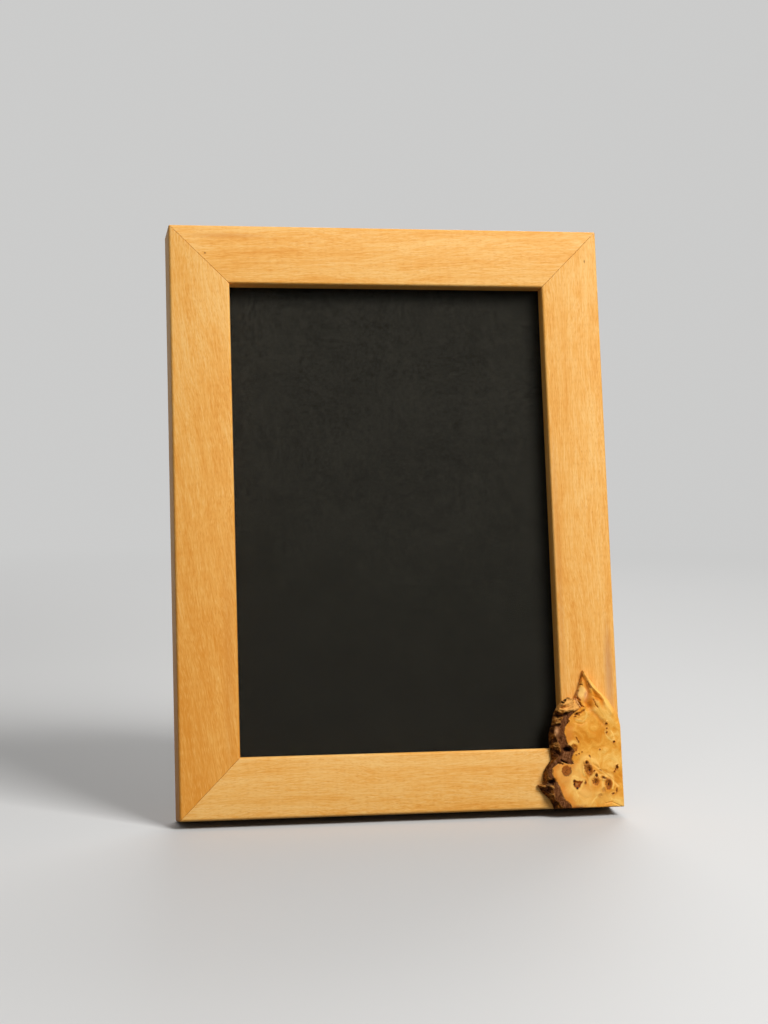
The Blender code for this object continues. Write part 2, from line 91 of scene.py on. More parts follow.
class Body(Enum):
    """The moving bodies that new pieces ride on, apart from the turn buttons' own."""

    FRAME = "frame"
    STRUT = "strut"


class Slot(Enum):
    """The record's material slots, named for new pieces but not given to them."""

    BEECH = "beech"
    BURL = "burl"
    STEEL = "steel"


class Grain(Enum):
    """Which way the wood's fibres run in the frame's own space, as a turn about y that lays them along x."""

    ACROSS = 0.0
    UPRIGHT = 90.0


class Mask(Enum):
    """What is painted on the burl slab for its material to read. The hollow mask is painted shade; the rust, dark,
    pale, pink and tan masks hold the wood's own colours and, in places, painted shade and painted highlights.
    """

    DARK = "dark"
    RUST_AND_SHADE = "rust"
    WARM = "warm"
    HOLLOW_SHADE = "hollow"
    PALE = "pale"
    SAP = "sap"
    STROKE = "stroke"
    KNOT = "knot"
    TAN = "tan"
    PINK = "pink"
    FIGURE = "figure"
    BAND = "band"
    SIDE = "side"


@dataclass(frozen=True)
class Space:
    """A space to model in, upright and square, and the matrix that carries it into the row frame."""

    matrix: Matrix

    def box(self, node: str) -> tuple[Vector, Vector]:
        """Measures a CAD node in this space.

        Args:
            node: The CAD node's name.

        Returns:
            The lowest and the highest corner of the node, in this space.
        """
        inverse = self.matrix.inverted()
        corners = np.array([inverse @ v.co for v in frame["nodes"][node].data.vertices])
        return Vector(corners.min(0)), Vector(corners.max(0))

    def within(self, place: Sequence[float], turn: Matrix | None = None) -> "Space":
        """A space inside this one.

        Args:
            place: The new space's origin, in this space.
            turn: The new space's rotation, or None to keep this one's.

        Returns:
            The new space.
        """
        inner = Matrix.Translation(place) @ (turn or Matrix.Identity(4))
        return Space(self.matrix @ inner)


def record_joint(name: str) -> dict:
    """The record's joint of that name."""
    return next(joint for joint in frame["joints"] if joint["name"] == name)


def leaning_space() -> Space:
    """Finds the frame's own space from the CAD.

    Returns:
        The space whose x runs across the frame, y from its front face to its back, and z up from its
        bottom edge, with its origin in the middle of the lower front edge.
    """
    underside = next(m for m in frame["record"]["mounts"] if m["name"] == "underside")
    across = Vector((1, 0, 0))
    up = -Vector(underside["axis"]).normalized()
    back = up.cross(across)
    turn = Matrix((across, back, up)).transposed().to_4x4()
    rough = Space(turn)
    low, high = rough.box("bottom_rail")
    return rough.within(((low.x + high.x) / 2, low.y, low.z))


def strut_space(leaning: Space) -> Space:
    """Finds the space of the open strut.

    Args:
        leaning: The frame's own space.

    Returns:
        The space whose origin lies on the hinge pin and whose z runs up along the leg.
    """
    fold = record_joint("strut_fold")
    opening = -math.radians(fold["range_deg"][0])
    pin = leaning.matrix.inverted() @ Vector(fold["pos_m"])
    return leaning.within(pin, Matrix.Rotation(opening, 4, "X"))


def spin(degrees: float, axis: str = "Y") -> Matrix:
    """A rotation about an axis."""
    return Matrix.Rotation(math.radians(degrees), 4, axis)


def arc(centre: Point, radius: float, start: float, end: float, steps: int) -> list[Point]:
    """Points on an arc, its angles in degrees."""
    angles = [math.radians(start + (end - start) * step / steps) for step in range(steps + 1)]
    return [(centre[0] + radius * math.cos(a), centre[1] + radius * math.sin(a)) for a in angles]


def runs_along(edge: bmesh.types.BMEdge, axis: int) -> bool:
    """True if an edge runs along an axis, 0 for x, 1 for y or 2 for z."""
    run = edge.verts[1].co - edge.verts[0].co
    return abs(run[axis]) > ALONG * run.length


def lies_at(edge: bmesh.types.BMEdge, axis: int, *values: float) -> bool:
    """True if both ends of an edge have one of these values on an axis."""
    return any(all(abs(v.co[axis] - value) < NEAR for v in edge.verts) for value in values)


def clear_bench() -> None:
    """Leaves edit mode and deselects everything."""
    if bpy.context.mode != "OBJECT":
        bpy.ops.object.mode_set(mode="OBJECT")
    bpy.ops.object.select_all(action="DESELECT")


class Bench:
    """One piece on the bench, shaped with Blender's own tools in its modelling space."""

    def __init__(self, name: str) -> None:
        """Takes the primitive that was just added and names it.

        Args:
            name: The piece's name.
        """
        self.piece = bpy.context.active_object
        self.piece.name = name
        self.piece.data.name = name

    @classmethod
    def block(cls, name: str, low: Sequence[float], high: Sequence[float]) -> "Bench":
        """Starts from a cube.

        Args:
            name: The piece's name.
            low: The block's lowest corner.
            high: Its highest corner.

        Returns:
            The block on its bench.
        """
        bottom, top = Vector(low), Vector(high)
        clear_bench()
        bpy.ops.mesh.primitive_cube_add(size=1, location=(bottom + top) / 2, scale=top - bottom)
        bpy.ops.object.transform_apply(location=True, rotation=True, scale=True)
        return cls(name)

    @classmethod
    def drum(cls, name: str, radius: float, low: float, high: float, sides: int = 48) -> "Bench":
        """Starts from a cylinder round the z axis.

        Args:
            name: The piece's name.
            radius: Its radius.
            low: The height of its lower end.
            high: The height of its upper end.
            sides: How many sides it has.

        Returns:
            The drum on its bench.
        """
        clear_bench()
        bpy.ops.mesh.primitive_cylinder_add(
            vertices=sides, radius=radius, depth=high - low, location=(0, 0, (low + high) / 2)
        )
        bpy.ops.object.transform_apply(location=True, rotation=True, scale=True)
        return cls(name)

    @classmethod
    def plate(cls, name: str, corners: Sequence[Span], run: Span) -> "Bench":
        """Starts from a filled circle, moves its corners to an outline and thickens it.

        Args:
            name: The piece's name.
            corners: The outline's corners, in order.
            run: Which way and how far it is thickened.

        Returns:
            The plate on its bench.
        """
        clear_bench()
        bpy.ops.mesh.primitive_circle_add(vertices=len(corners), radius=1, fill_type="NGON")
        made = cls(name)
        for vertex, corner in zip(made.piece.data.vertices, corners):
            vertex.co = corner
        return made.pick("FACE", lambda f: True).extrude(run).face_out()

    @classmethod
    def turned(cls, name: str, profile: Sequence[Point], steps: int = 48) -> "Bench":
        """Spins a chain of corners round the z axis.

        Args:
            name: The piece's name.
            profile: Radius and height of each corner, its ends on the axis.
            steps: How many steps the turn has.

        Returns:
            The closed solid.
        """
        clear_bench()
        bpy.ops.mesh.primitive_circle_add(vertices=len(profile), radius=1, fill_type="NOTHING")
        made = cls(name)
        for vertex, (radius, height) in zip(made.piece.data.vertices, profile):
            vertex.co = (radius, 0, height)
        ends = {0, len(profile) - 1}
        made.pick("EDGE", lambda e: {v.index for v in e.verts} == ends)
        bpy.ops.mesh.delete(type="EDGE")
        made.modify("SCREW", angle=2 * math.pi, steps=steps, render_steps=steps, use_merge_vertices=True,
                    merge_threshold=WELD)
        return made.face_out()

    def face_out(self) -> "Bench":
        """Turns every face outward.

        Returns:
            This bench.
        """
        self.edit()
        bpy.ops.mesh.select_all(action="SELECT")
        bpy.ops.mesh.normals_make_consistent(inside=False)
        self.leave_edit()
        return self

    def copy(self, name: str) -> "Bench":
        """Copies this piece, with a mesh of its own.

        Args:
            name: The copy's name.

        Returns:
            The copy on its bench.
        """
        self.leave_edit()
        twin = self.piece.copy()
        twin.data = self.piece.data.copy()
        bpy.context.scene.collection.objects.link(twin)
        bpy.context.view_layer.objects.active = twin
        return Bench(name)

    def edit(self) -> None:
        """Opens the piece in edit mode."""
        if self.piece.mode != "EDIT":
            clear_bench()
            bpy.context.view_layer.objects.active = self.piece
            self.piece.select_set(True)
            bpy.ops.object.mode_set(mode="EDIT")

    def leave_edit(self) -> None:
        """Goes back to object mode."""
        if self.piece.mode == "EDIT":
            bpy.ops.object.mode_set(mode="OBJECT")

    def pick(self, kind: str, test: Callable[[object], bool]) -> "Bench":
        """Selects what passes a test.

        Args:
            kind: "FACE" or "EDGE".
            test: Says whether a face or edge is wanted.

        Returns:
            This bench.
        """
        self.edit()
        bpy.ops.mesh.select_mode(type=kind)
        bpy.ops.mesh.select_all(action="DESELECT")
        shape = bmesh.from_edit_mesh(self.piece.data)
        for part in shape.faces if kind == "FACE" else shape.edges:
            if test(part):
                part.select_set(True)
        bmesh.update_edit_mesh(self.piece.data)
        return self

    def extrude(self, run: Sequence[float]) -> "Bench":
        """Extrudes the picked faces by a run."""
        bpy.ops.mesh.extrude_region_move(TRANSFORM_OT_translate={"value": tuple(run)})
        return self

    def bevel(self, width: float, steps: int) -> "Bench":
        """Rounds the picked edges."""
        bpy.ops.mesh.bevel(offset=width, segments=steps, profile=ROUND_PROFILE, affect="EDGES")
        return self

    def soften(self, width: float, steps: int = 2) -> "Bench":
        """Rounds every sharp edge."""
        return self.modify("BEVEL", width=width, segments=steps, profile=ROUND_PROFILE, limit_method="ANGLE",
                           angle_limit=SHARP_ANGLE)

    def cut(self, point: Sequence[float], normal: Sequence[float], shave: bool = True) -> "Bench":
        """Cuts the whole piece at a plane.

        Args:
            point: A point on the plane.
            normal: The plane's normal.
            shave: Whether what lies past the plane goes, and the cut is closed.

        Returns:
            This bench.
        """
        self.edit()
        bpy.ops.mesh.select_all(action="SELECT")
        bpy.ops.mesh.bisect(plane_co=tuple(point), plane_no=tuple(normal), use_fill=shave, clear_outer=shave,
                            threshold=CUT_SNAP)
        return self

    def modify(self, kind: str, **settings: object) -> "Bench":
        """Adds a modifier and applies it.

        Args:
            kind: The modifier's type.
            **settings: Its settings.

        Returns:
            This bench.
        """
        self.leave_edit()
        clear_bench()
        bpy.context.view_layer.objects.active = self.piece
        self.piece.select_set(True)
        modifier = self.piece.modifiers.new(kind, kind)
        for setting, value in settings.items():
            setattr(modifier, setting, value)
        bpy.ops.object.modifier_apply(modifier=modifier.name)
        return self

    def combine(self, tool: "Bench", operation: str, keep: bool = False) -> "Bench":
        """Cuts away, or joins on, another piece.

        Args:
            tool: The other piece.
            operation: "DIFFERENCE" or "UNION".
            keep: Whether the other piece is still needed.

        Returns:
            This bench.
        """
        tool.leave_edit()
        self.modify("BOOLEAN", object=tool.piece, operation=operation, solver="EXACT")
        if not keep:
            tool.scrap()
        return self

    def scrap(self) -> None:
        """Throws the piece away."""
        self.leave_edit()
        bpy.data.objects.remove(self.piece, do_unlink=True)

    def carry(self, matrix: Matrix) -> "Bench":
        """Moves the mesh, while the object stays at the origin.

        Args:
            matrix: Where the mesh goes.

        Returns:
            This bench.
        """
        self.leave_edit()
        self.piece.data.transform(matrix)
        self.piece.data.update()
        return self

    def finish(self, space: Space, finish: Material, slot: Slot, body: str, *nodes: str) -> Object:
        """Carries the piece into the frame, smooths, dresses and mounts it.

        Args:
            space: The space it was modelled in.
            finish: Its material.
            slot: The record's material slot it belongs to; not used.
            body: The CAD body it rides on.
            *nodes: The CAD nodes it stands for.

        Returns:
            The finished object.
        """
        self.carry(space.matrix)
        clear_bench()
        bpy.context.view_layer.objects.active = self.piece
        self.piece.select_set(True)
        bpy.ops.object.shade_smooth_by_angle(angle=SMOOTH_ANGLE)
        self.piece.data.materials.clear()
        self.piece.data.materials.append(finish)
        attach(self.piece, body)
        if nodes:
            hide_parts(*nodes)
        count = sum(len(face.vertices) - 2 for face in self.piece.data.polygons)
        LOG.info("%s: %d triangles, on %s", self.piece.name, count, body)
        return self.piece


class Surface:
    """A Principled material under construction. Its patterns are laid out in millimetres."""

    def __init__(self, name: str, roughness: float, specular: float = 0.5, metal: float = 0.0) -> None:
        """Starts a material with plain values.

        Args:
            name: The material's name.
            roughness: How matt it is.
            specular: How strongly it reflects.
            metal: 1 for bare metal, else 0.
        """
        self.material = bpy.data.materials.new(name)
        self.material.use_nodes = True
        self.nodes = self.material.node_tree.nodes
        self.links = self.material.node_tree.links
        self.shader = self.nodes["Principled BSDF"]
        self.shader.inputs["Roughness"].default_value = roughness
        self.shader.inputs["Specular IOR Level"].default_value = specular
        self.shader.inputs["Metallic"].default_value = metal

    def add(self, kind: str, *values: object, **settings: object) -> bpy.types.Node:
        """Adds a node.

        Args:
            kind: The node's type.
            *values: What its inputs take in order: a socket, a plain value, or None to leave one.
            **settings: The node's own settings.

        Returns:
            The node.
        """
        node = self.nodes.new(kind)
        for setting, value in settings.items():
            setattr(node, setting, value)
        for number, value in enumerate(values):
            self.feed(node.inputs[number], value)
        return node

    def feed(self, socket: Socket, value: object) -> None:
        """Gives an input a link or a plain value."""
        if isinstance(value, Socket):
            self.links.new(value, socket)
        elif value is not None:
            socket.default_value = value

    def place(self, turn: Sequence[float] = (0, 0, 0), shift: Sequence[float] = (0, 0, 0)) -> Socket:
        """Object coordinates in millimetres, turned, then shifted."""
        spot = self.add("ShaderNodeTexCoord").outputs["Object"]
        return self.add("ShaderNodeMapping", spot, tuple(shift), tuple(turn), (1 / MM,) * 3).outputs[0]

    def stretch(self, spot: Socket, scale: Span) -> Socket:
        """Coordinates multiplied by a scale for each axis."""
        return self.add("ShaderNodeVectorMath", spot, scale, operation="MULTIPLY").outputs[0]

    def math(self, operation: str, *values: object) -> Socket:
        """A Math node's result."""
        return self.add("ShaderNodeMath", *values, operation=operation).outputs[0]

    def noise(self, spot: Socket, scale: float, detail: float = 2, rough: float = 0.5,
              bend: float = 0) -> Socket:
        """Noise from 0 to 1 with that many features per millimetre."""
        values = (spot, None, scale, detail, rough, None, None, None, bend)
        return self.add("ShaderNodeTexNoise", *values).outputs["Fac"]

    def cells(self, spot: Socket) -> tuple[Socket, Socket]:
        """Scattered points, one to a unit of the coordinates.

        Args:
            spot: The coordinates.

        Returns:
            The distance to the nearest point, and a random value that belongs to it.
        """
        node = self.add("ShaderNodeTexVoronoi", spot)
        node.inputs["Scale"].default_value = 1.0
        split = self.add("ShaderNodeSeparateColor", node.outputs["Color"])
        return node.outputs["Distance"], split.outputs[0]

    def steps(self, value: Socket, low: float, high: float, start: float = 0.0, end: float = 1.0) -> Socket:
        """A smooth climb from start to end as a value goes from low to high."""
        values = (value, low, high, start, end)
        return self.add("ShaderNodeMapRange", *values, interpolation_type="SMOOTHSTEP").outputs[0]

    def ramp(self, value: Socket, stops: Sequence[tuple[float, Colour]]) -> Socket:
        """A colour read off a scale.

        Args:
            value: Where on the scale.
            stops: The scale's positions and colours.

        Returns:
            The colour.
        """
        node = self.add("ShaderNodeValToRGB", value)
        band = node.color_ramp.elements
        while len(band) < len(stops):
            band.new(0.5)
        for element, (position, colour) in zip(band, stops):
            element.position = position
            element.color = (*colour, 1)
        return node.outputs[0]

    def mix(self, share: object, under: object, over: object) -> Socket:
        """Two colours mixed by a share.

        Args:
            share: How much of the second shows, a socket or a number.
            under: The first colour.
            over: The second colour.

        Returns:
            The mixed colour.
        """
        node = self.add("ShaderNodeMix", data_type="RGBA")
        self.feed(node.inputs[0], share)
        for socket, colour in ((node.inputs[6], under), (node.inputs[7], over)):
            self.feed(socket, (*colour, 1) if isinstance(colour, tuple) else colour)
        return node.outputs[2]

    def mask(self, mask: Mask) -> Socket:
        """A value painted on the mesh."""
        return self.add("ShaderNodeAttribute", attribute_name=mask.value).outputs["Fac"]

    def bump(self, height: Socket, depth: float, strength: float = 1.0) -> None:
        """Roughens the surface by a height from 0 to 1 that stands for a depth in metres."""
        node = self.add("ShaderNodeBump", strength, depth, None, height)
        self.links.new(node.outputs[0], self.shader.inputs["Normal"])

    def colour(self, value: object) -> None:
        """Sets the base colour."""
        self.feed(self.shader.inputs["Base Color"], (*value, 1) if isinstance(value, tuple) else value)

    def roughness(self, value: Socket) -> None:
        """Drives the roughness."""
        self.feed(self.shader.inputs["Roughness"], value)


@dataclass(frozen=True)
class Mark:
    """A pin knot or a stain in the wood: its place and reach across and up the frame, in millimetres."""

    centre: Point
    half: Point
    colour: Colour
    share: float


@dataclass(frozen=True)
class Board:
    """The board a piece is sawn from: its grain, the stretch that is taken, its tone, and a drift of tone along
    its length, which on the stiles is painted shade.
    """

    grain: Grain
    stretch: Span
    warmth: float
    tilt: float = 0.0
    # drift darkens the board along its length; on the stiles that is painted shade, darker towards the bottom
    drift: float = 0.0


@dataclass(frozen=True)
class Pattern:
    """A noise in the wood: features per millimetre, fineness, and weight in the tone."""

    scale: Span
    detail: float
    rough: float
    weight: float


@dataclass(frozen=True)
class OiledBeech:
    """Planed and oiled beech: straight grain, cloudy heartwood, and short flecks along the fibres."""

    name: str
    lean: float
    board: Board
    marks: tuple[Mark, ...] = ()
    foot: Span = (0.0, 0.0, 0.0)
    slow_sway: tuple[Span, float] = ((0.012, 0.05, 0.05), 12.0)
    quick_sway: tuple[Span, float] = ((0.055, 0.22, 0.22), 1.1)
    clouds: Pattern = Pattern((0.02, 0.08, 0.08), 3, 0.55, 0.50)
    rings: Pattern = Pattern((0.006, 0.30, 0.30), 2, 0.5, 0.45)
    streaks: Pattern = Pattern((0.08, 1.9, 1.9), 4, 0.62, 0.75)
    dashes: Pattern = Pattern((0.26, 2.9, 2.9), 2, 0.5, 0.55)
    tone_span: Point = (0.70, 1.52)
    honey_stop: float = 0.45
    fleck_shift: Span = (17.3, 5.1, 9.7)
    pale: Colour = (0.925, 0.545, 0.175)
    honey: Colour = (0.86, 0.415, 0.085)
    amber: Colour = (0.75, 0.285, 0.030)
    fleck: Colour = (0.66, 0.225, 0.020)
    pore: Colour = (0.42, 0.125, 0.012)
    sheen: Colour = (1.0, 0.62, 0.20)

    def build(self) -> Material:
        """Builds the material.

        Returns:
            The material, its fibres laid along the board.
        """
        wood = Surface(self.name, roughness=0.50, specular=0.17)
        turn = (self.lean, math.radians(self.board.grain.value + self.board.tilt), 0)
        spot = wood.place(turn, self.board.stretch)
        fibre = spot
        for scale, reach in (self.slow_sway, self.quick_sway):
            fibre = self.wander(wood, fibre, scale, reach)

        tone = self.board.warmth - 0.5
        patterns = {}
        for pattern in (self.clouds, self.rings, self.streaks, self.dashes):
            stretched = wood.stretch(fibre, pattern.scale)
            patterns[pattern] = wood.noise(stretched, 1.0, pattern.detail, pattern.rough)
            tone = wood.math("MULTIPLY_ADD", patterns[pattern], pattern.weight, tone)
        # Painted shade on the stiles: the tone drifts along the board, darker towards the bottom.
        along = wood.add("ShaderNodeSeparateXYZ", spot).outputs[0]
        along = wood.math("SUBTRACT", along, self.board.stretch[0])
        tone = wood.math("MULTIPLY_ADD", along, self.board.drift, tone)
        tone = wood.steps(tone, *self.tone_span)
        base = wood.ramp(tone, ((0.0, self.pale), (self.honey_stop, self.honey), (1.0, self.amber)))
        wood.colour(self.mark(wood, fibre, patterns[self.streaks], base))
        wood.roughness(wood.steps(patterns[self.streaks], 0.2, 0.8, 0.45, 0.57))
        wood.bump(wood.math("ADD", patterns[self.streaks], patterns[self.dashes]), 0.03 * MM, 0.5)
        return wood.material

    def mark(self, wood: Surface, fibre: Socket, streak: Socket, base: Socket) -> Socket:
        """Scatters the flecks and pores, and lays on the board's own marks.

        Args:
            wood: The material under construction.
            fibre: The coordinates along the fibres.
            streak: The noise that frays the marks' edges.
            base: The colour so far.

        Returns:
            The colour with all of them on it.
        """
        flecks = (
            ((0.33, 2.7, 2.7), 0.35, 0.45, self.fleck, 0.46),
            ((0.58, 3.9, 3.9), 0.45, 0.45, self.fleck, 0.44),
            ((0.22, 3.0, 3.0), 0.40, 0.45, self.sheen, 0.42),
            ((0.70, 1.6, 1.6), 0.90, 0.22, self.pore, 0.50),
        )
        for number, (scale, picked, size, colour, share) in enumerate(flecks):
            shift = (self.fleck_shift[0] * number, self.fleck_shift[1], self.fleck_shift[2] * number)
            shifted = wood.add("ShaderNodeVectorMath", fibre, shift, operation="ADD").outputs[0]
            distance, luck = wood.cells(wood.stretch(shifted, scale))
            body = wood.steps(distance, size, 0.05)
            pick = wood.steps(luck, picked, picked + 0.2)
            base = wood.mix(wood.math("MULTIPLY", wood.math("MULTIPLY", body, pick), share), base, colour)
        for mark in self.marks:
            shift = (-self.foot[0] - mark.centre[0], 0.0, -self.foot[2] - mark.centre[1])
            spot = wood.place((self.lean, 0, 0), shift)
            offset = wood.stretch(spot, (1 / mark.half[0], 0.0, 1 / mark.half[1]))
            reach = wood.add("ShaderNodeVectorMath", offset, operation="LENGTH").outputs["Value"]
            reach = wood.math("MULTIPLY_ADD", streak, 0.6, wood.math("SUBTRACT", reach, 0.3))
            base = wood.mix(wood.steps(reach, 1.2, 0.1, 0.0, mark.share), base, mark.colour)
        return base

    def wander(self, wood: Surface, spot: Socket, scale: Span, reach: float) -> Socket:
        """Lets the fibres wander sideways.

        Args:
            wood: The material under construction.
            spot: The coordinates so far.
            scale: How fast they wander along and across the board.
            reach: How far, in millimetres.

        Returns:
            The bent coordinates.
        """
        sway = wood.noise(wood.stretch(spot, scale), 1.0, detail=1)
        drift = wood.math("MULTIPLY", wood.math("SUBTRACT", sway, 0.5), reach)
        offset = wood.add("ShaderNodeCombineXYZ", 0.0, drift, drift).outputs[0]
        return wood.add("ShaderNodeVectorMath", spot, offset, operation="ADD").outputs[0]


@dataclass(frozen=True)
class BurlWood:
    """Oiled burl: soft gold figure, brown eyes, and a purple-brown bark edge."""

    name: str = "burl"
    cream: Colour = (0.96, 0.57, 0.140)
    gold: Colour = (0.84, 0.385, 0.052)
    orange: Colour = (0.70, 0.235, 0.013)
    # the orange of the painted shade in the hollows
    hollow_shade_orange: Colour = (0.60, 0.165, 0.004)
    umber: Colour = (0.14, 0.024, 0.002)
    rust: Colour = (0.35, 0.082, 0.005)
    eye: Colour = (0.026, 0.006, 0.002)
    salmon: Colour = (0.71, 0.240, 0.033)
    crust: Colour = (0.018, 0.005, 0.001)
    crust_brown: Colour = (0.185, 0.056, 0.007)
    plate: Colour = (0.135, 0.043, 0.011)
    plate_pale: Colour = (0.27, 0.115, 0.045)
    plate_dark: Colour = (0.050, 0.014, 0.003)
    tan: Colour = (0.76, 0.37, 0.090)
    tan_deep: Colour = (0.38, 0.125, 0.014)
    pink: Colour = (0.74, 0.36, 0.15)

    def build(self) -> Material:
        """Builds the material, which reads the masks that the slab's mesh carries.

        Returns:
            The material.
        """
        wood = Surface(self.name, roughness=0.42, specular=0.08)
        spot = wood.place()
        figure = wood.math("MULTIPLY_ADD", wood.noise(spot, 0.9, 2), 0.10, wood.mask(Mask.FIGURE))
        wave = wood.math("SINE", wood.math("MULTIPLY", figure, 9.0))
        fine = wood.math("SINE", wood.math("MULTIPLY", figure, 41.0))
        tone = wood.math("MULTIPLY_ADD", wave, -0.060, wood.noise(spot, 0.10, 3, 0.5, 0.4))
        tone = wood.math("MULTIPLY_ADD", fine, 0.030, tone)
        tone = wood.math("MULTIPLY_ADD", wood.noise(spot, 2.6, 3, 0.6), 0.14, tone)
        scale = ((0.0, self.cream), (0.42, self.gold), (1.0, self.orange))
        base = wood.ramp(wood.steps(tone, 0.30, 0.90), scale)
        mottle = wood.noise(spot, 1.6, 4, 0.7)
        broad = wood.noise(wood.stretch(spot, (0.9, 0.6, 0.30)), 1.0, 4, 0.65, 0.8)
        patchy = wood.math("MULTIPLY_ADD", broad, 0.6, wood.math("MULTIPLY", mottle, 0.4))
        plate = wood.ramp(patchy, ((0.36, self.plate_dark), (0.50, self.plate), (0.66, self.plate_pale)))
        crust = wood.ramp(patchy, ((0.40, self.crust), (0.52, self.crust_brown), (0.66, self.tan_deep)))
        bright = wood.ramp(wood.noise(spot, 0.55, 3, 0.5), ((0.34, self.tan_deep), (0.52, self.tan)))
        knot = wood.ramp(wood.noise(spot, 1.3, 3, 0.7, 0.8), ((0.36, self.umber), (0.60, self.rust)))
        # The orange on the hollow mask is painted shade; the pale, pink and tan layers also carry painted
        # highlights, and the rust and dark layers painted shade, in places.
        layers = {
            Mask.PALE: self.cream, Mask.WARM: self.orange, Mask.HOLLOW_SHADE: self.hollow_shade_orange, Mask.SAP: self.salmon,
            Mask.STROKE: self.cream, Mask.RUST_AND_SHADE: knot, Mask.KNOT: knot, Mask.SIDE: crust, Mask.BAND: plate,
            Mask.TAN: bright, Mask.PINK: self.pink, Mask.DARK: self.eye,
        }
        for mask, colour in layers.items():
            base = wood.mix(wood.mask(mask), base, colour)
        wood.colour(base)
        bark = wood.math("MAXIMUM", wood.mask(Mask.SIDE), wood.mask(Mask.BAND))
        wood.roughness(wood.steps(bark, 0.0, 1.0, 0.42, 0.80))
        grit = wood.noise(spot, 3.0, 4, 0.7)
        wood.bump(wood.math("MULTIPLY", grit, wood.steps(bark, 0.0, 1.0, 0.10, 1.0)), 0.16 * MM, 0.7)
        return wood.material


@dataclass(frozen=True)
class CharcoalCard:
    """Matt charcoal card with a faint mottled tooth, and painted shade that darkens it towards the bottom."""

    name: str = "charcoal_card"
    deep: Colour = (0.0122, 0.0107, 0.0078)
    light: Colour = (0.0312, 0.0273, 0.0207)
    # the colour of the painted shade at the card's bottom
    foot: Colour = (0.0050, 0.0043, 0.0026)
    fade: float = 0.38

    def build(self) -> Material:
        """Builds the material.

        Returns:
            The material.
        """
        card = Surface(self.name, roughness=0.9, specular=0.03)
        spot = card.place()
        tooth = card.noise(spot, 0.75, 4, 0.75)
        broad = card.noise(spot, 0.05, 2)
        tone = card.math("MULTIPLY_ADD", broad, 0.12, tooth)
        base = card.mix(card.steps(tone, 0.42, 0.70), self.deep, self.light)
        # Painted shade: the card darkens towards the foot colour near its bottom.
        height = card.add("ShaderNodeSeparateXYZ", spot).outputs[2]
        card.colour(card.mix(card.steps(height, 20.0, 200.0, self.fade, 0.0), base, self.foot))
        card.bump(tooth, 0.06 * MM, 0.5)
        return card.material


@dataclass(frozen=True)
class PictureGlass:
    """Clear picture glass with a coating that keeps reflections down. Lamps and the room's light pass it."""

    name: str = "picture_glass"
    tint: Colour = (0.97, 0.985, 0.975)
    index: float = 1.12
    coated: float = 0.4

    def build(self) -> Material:
        """Builds the material.

        Returns:
            The material.
        """
        glass = Surface(self.name, roughness=0.02, specular=self.coated)
        glass.colour(self.tint)
        glass.shader.inputs["IOR"].default_value = self.index
        glass.shader.inputs["Transmission Weight"].default_value = 1.0
        rays = glass.add("ShaderNodeLightPath").outputs
        clear = glass.add("ShaderNodeBsdfTransparent", (*self.tint, 1)).outputs[0]
        shown = glass.shader.outputs[0]
        for ray in ("Is Shadow Ray", "Is Diffuse Ray"):
            shown = glass.add("ShaderNodeMixShader", rays[ray], shown, clear).outputs[0]
        glass.links.new(shown, glass.nodes["Material Output"].inputs["Surface"])
        return glass.material


@dataclass(frozen=True)
class PressedBoard:
    """Foam board or hardboard: a fibrous sheet of one colour."""

    name: str
    face: Colour
    fibre: Colour
    tooth: float

    def build(self) -> Material:
        """Builds the material.

        Returns:
            The material.
        """
        board = Surface(self.name, roughness=0.75, specular=0.3)
        spot = board.place()
        felt = board.noise(spot, self.tooth, 5, 0.7, 1.5)
        patch = board.noise(spot, 0.06, 3)
        tone = board.math("MULTIPLY_ADD", patch, 0.5, board.math("MULTIPLY", felt, 0.8))
        board.colour(board.mix(board.steps(tone, 0.4, 0.9), self.fibre, self.face))
        board.bump(felt, 0.06 * MM, 0.5)
        return board.material


@dataclass(frozen=True)
class PlatedSteel:
    """Bright zinc plate: brushed by handling, a little cloudy, duller in places."""

    name: str
    bright: Colour = (0.76, 0.75, 0.72)
    dull: Colour = (0.60, 0.59, 0.57)
    polish: float = 0.22

    def build(self) -> Material:
        """Builds the material.

        Returns:
            The material.
        """
        steel = Surface(self.name, roughness=self.polish, metal=1.0)
        spot = steel.place()
        cloud = steel.noise(spot, 0.25, 3, 0.55)
        scratch = steel.noise(steel.stretch(spot, (9.0, 0.5, 0.5)), 1.0, 3, 0.6)
        tone = steel.math("MULTIPLY_ADD", scratch, 0.35, steel.math("MULTIPLY", cloud, 0.65))
        steel.colour(steel.mix(steel.steps(tone, 0.35, 0.65), self.dull, self.bright))
        steel.roughness(steel.steps(tone, 0.3, 0.7, self.polish + 0.14, self.polish))
        steel.bump(scratch, 0.01 * MM, 0.4)
        return steel.material


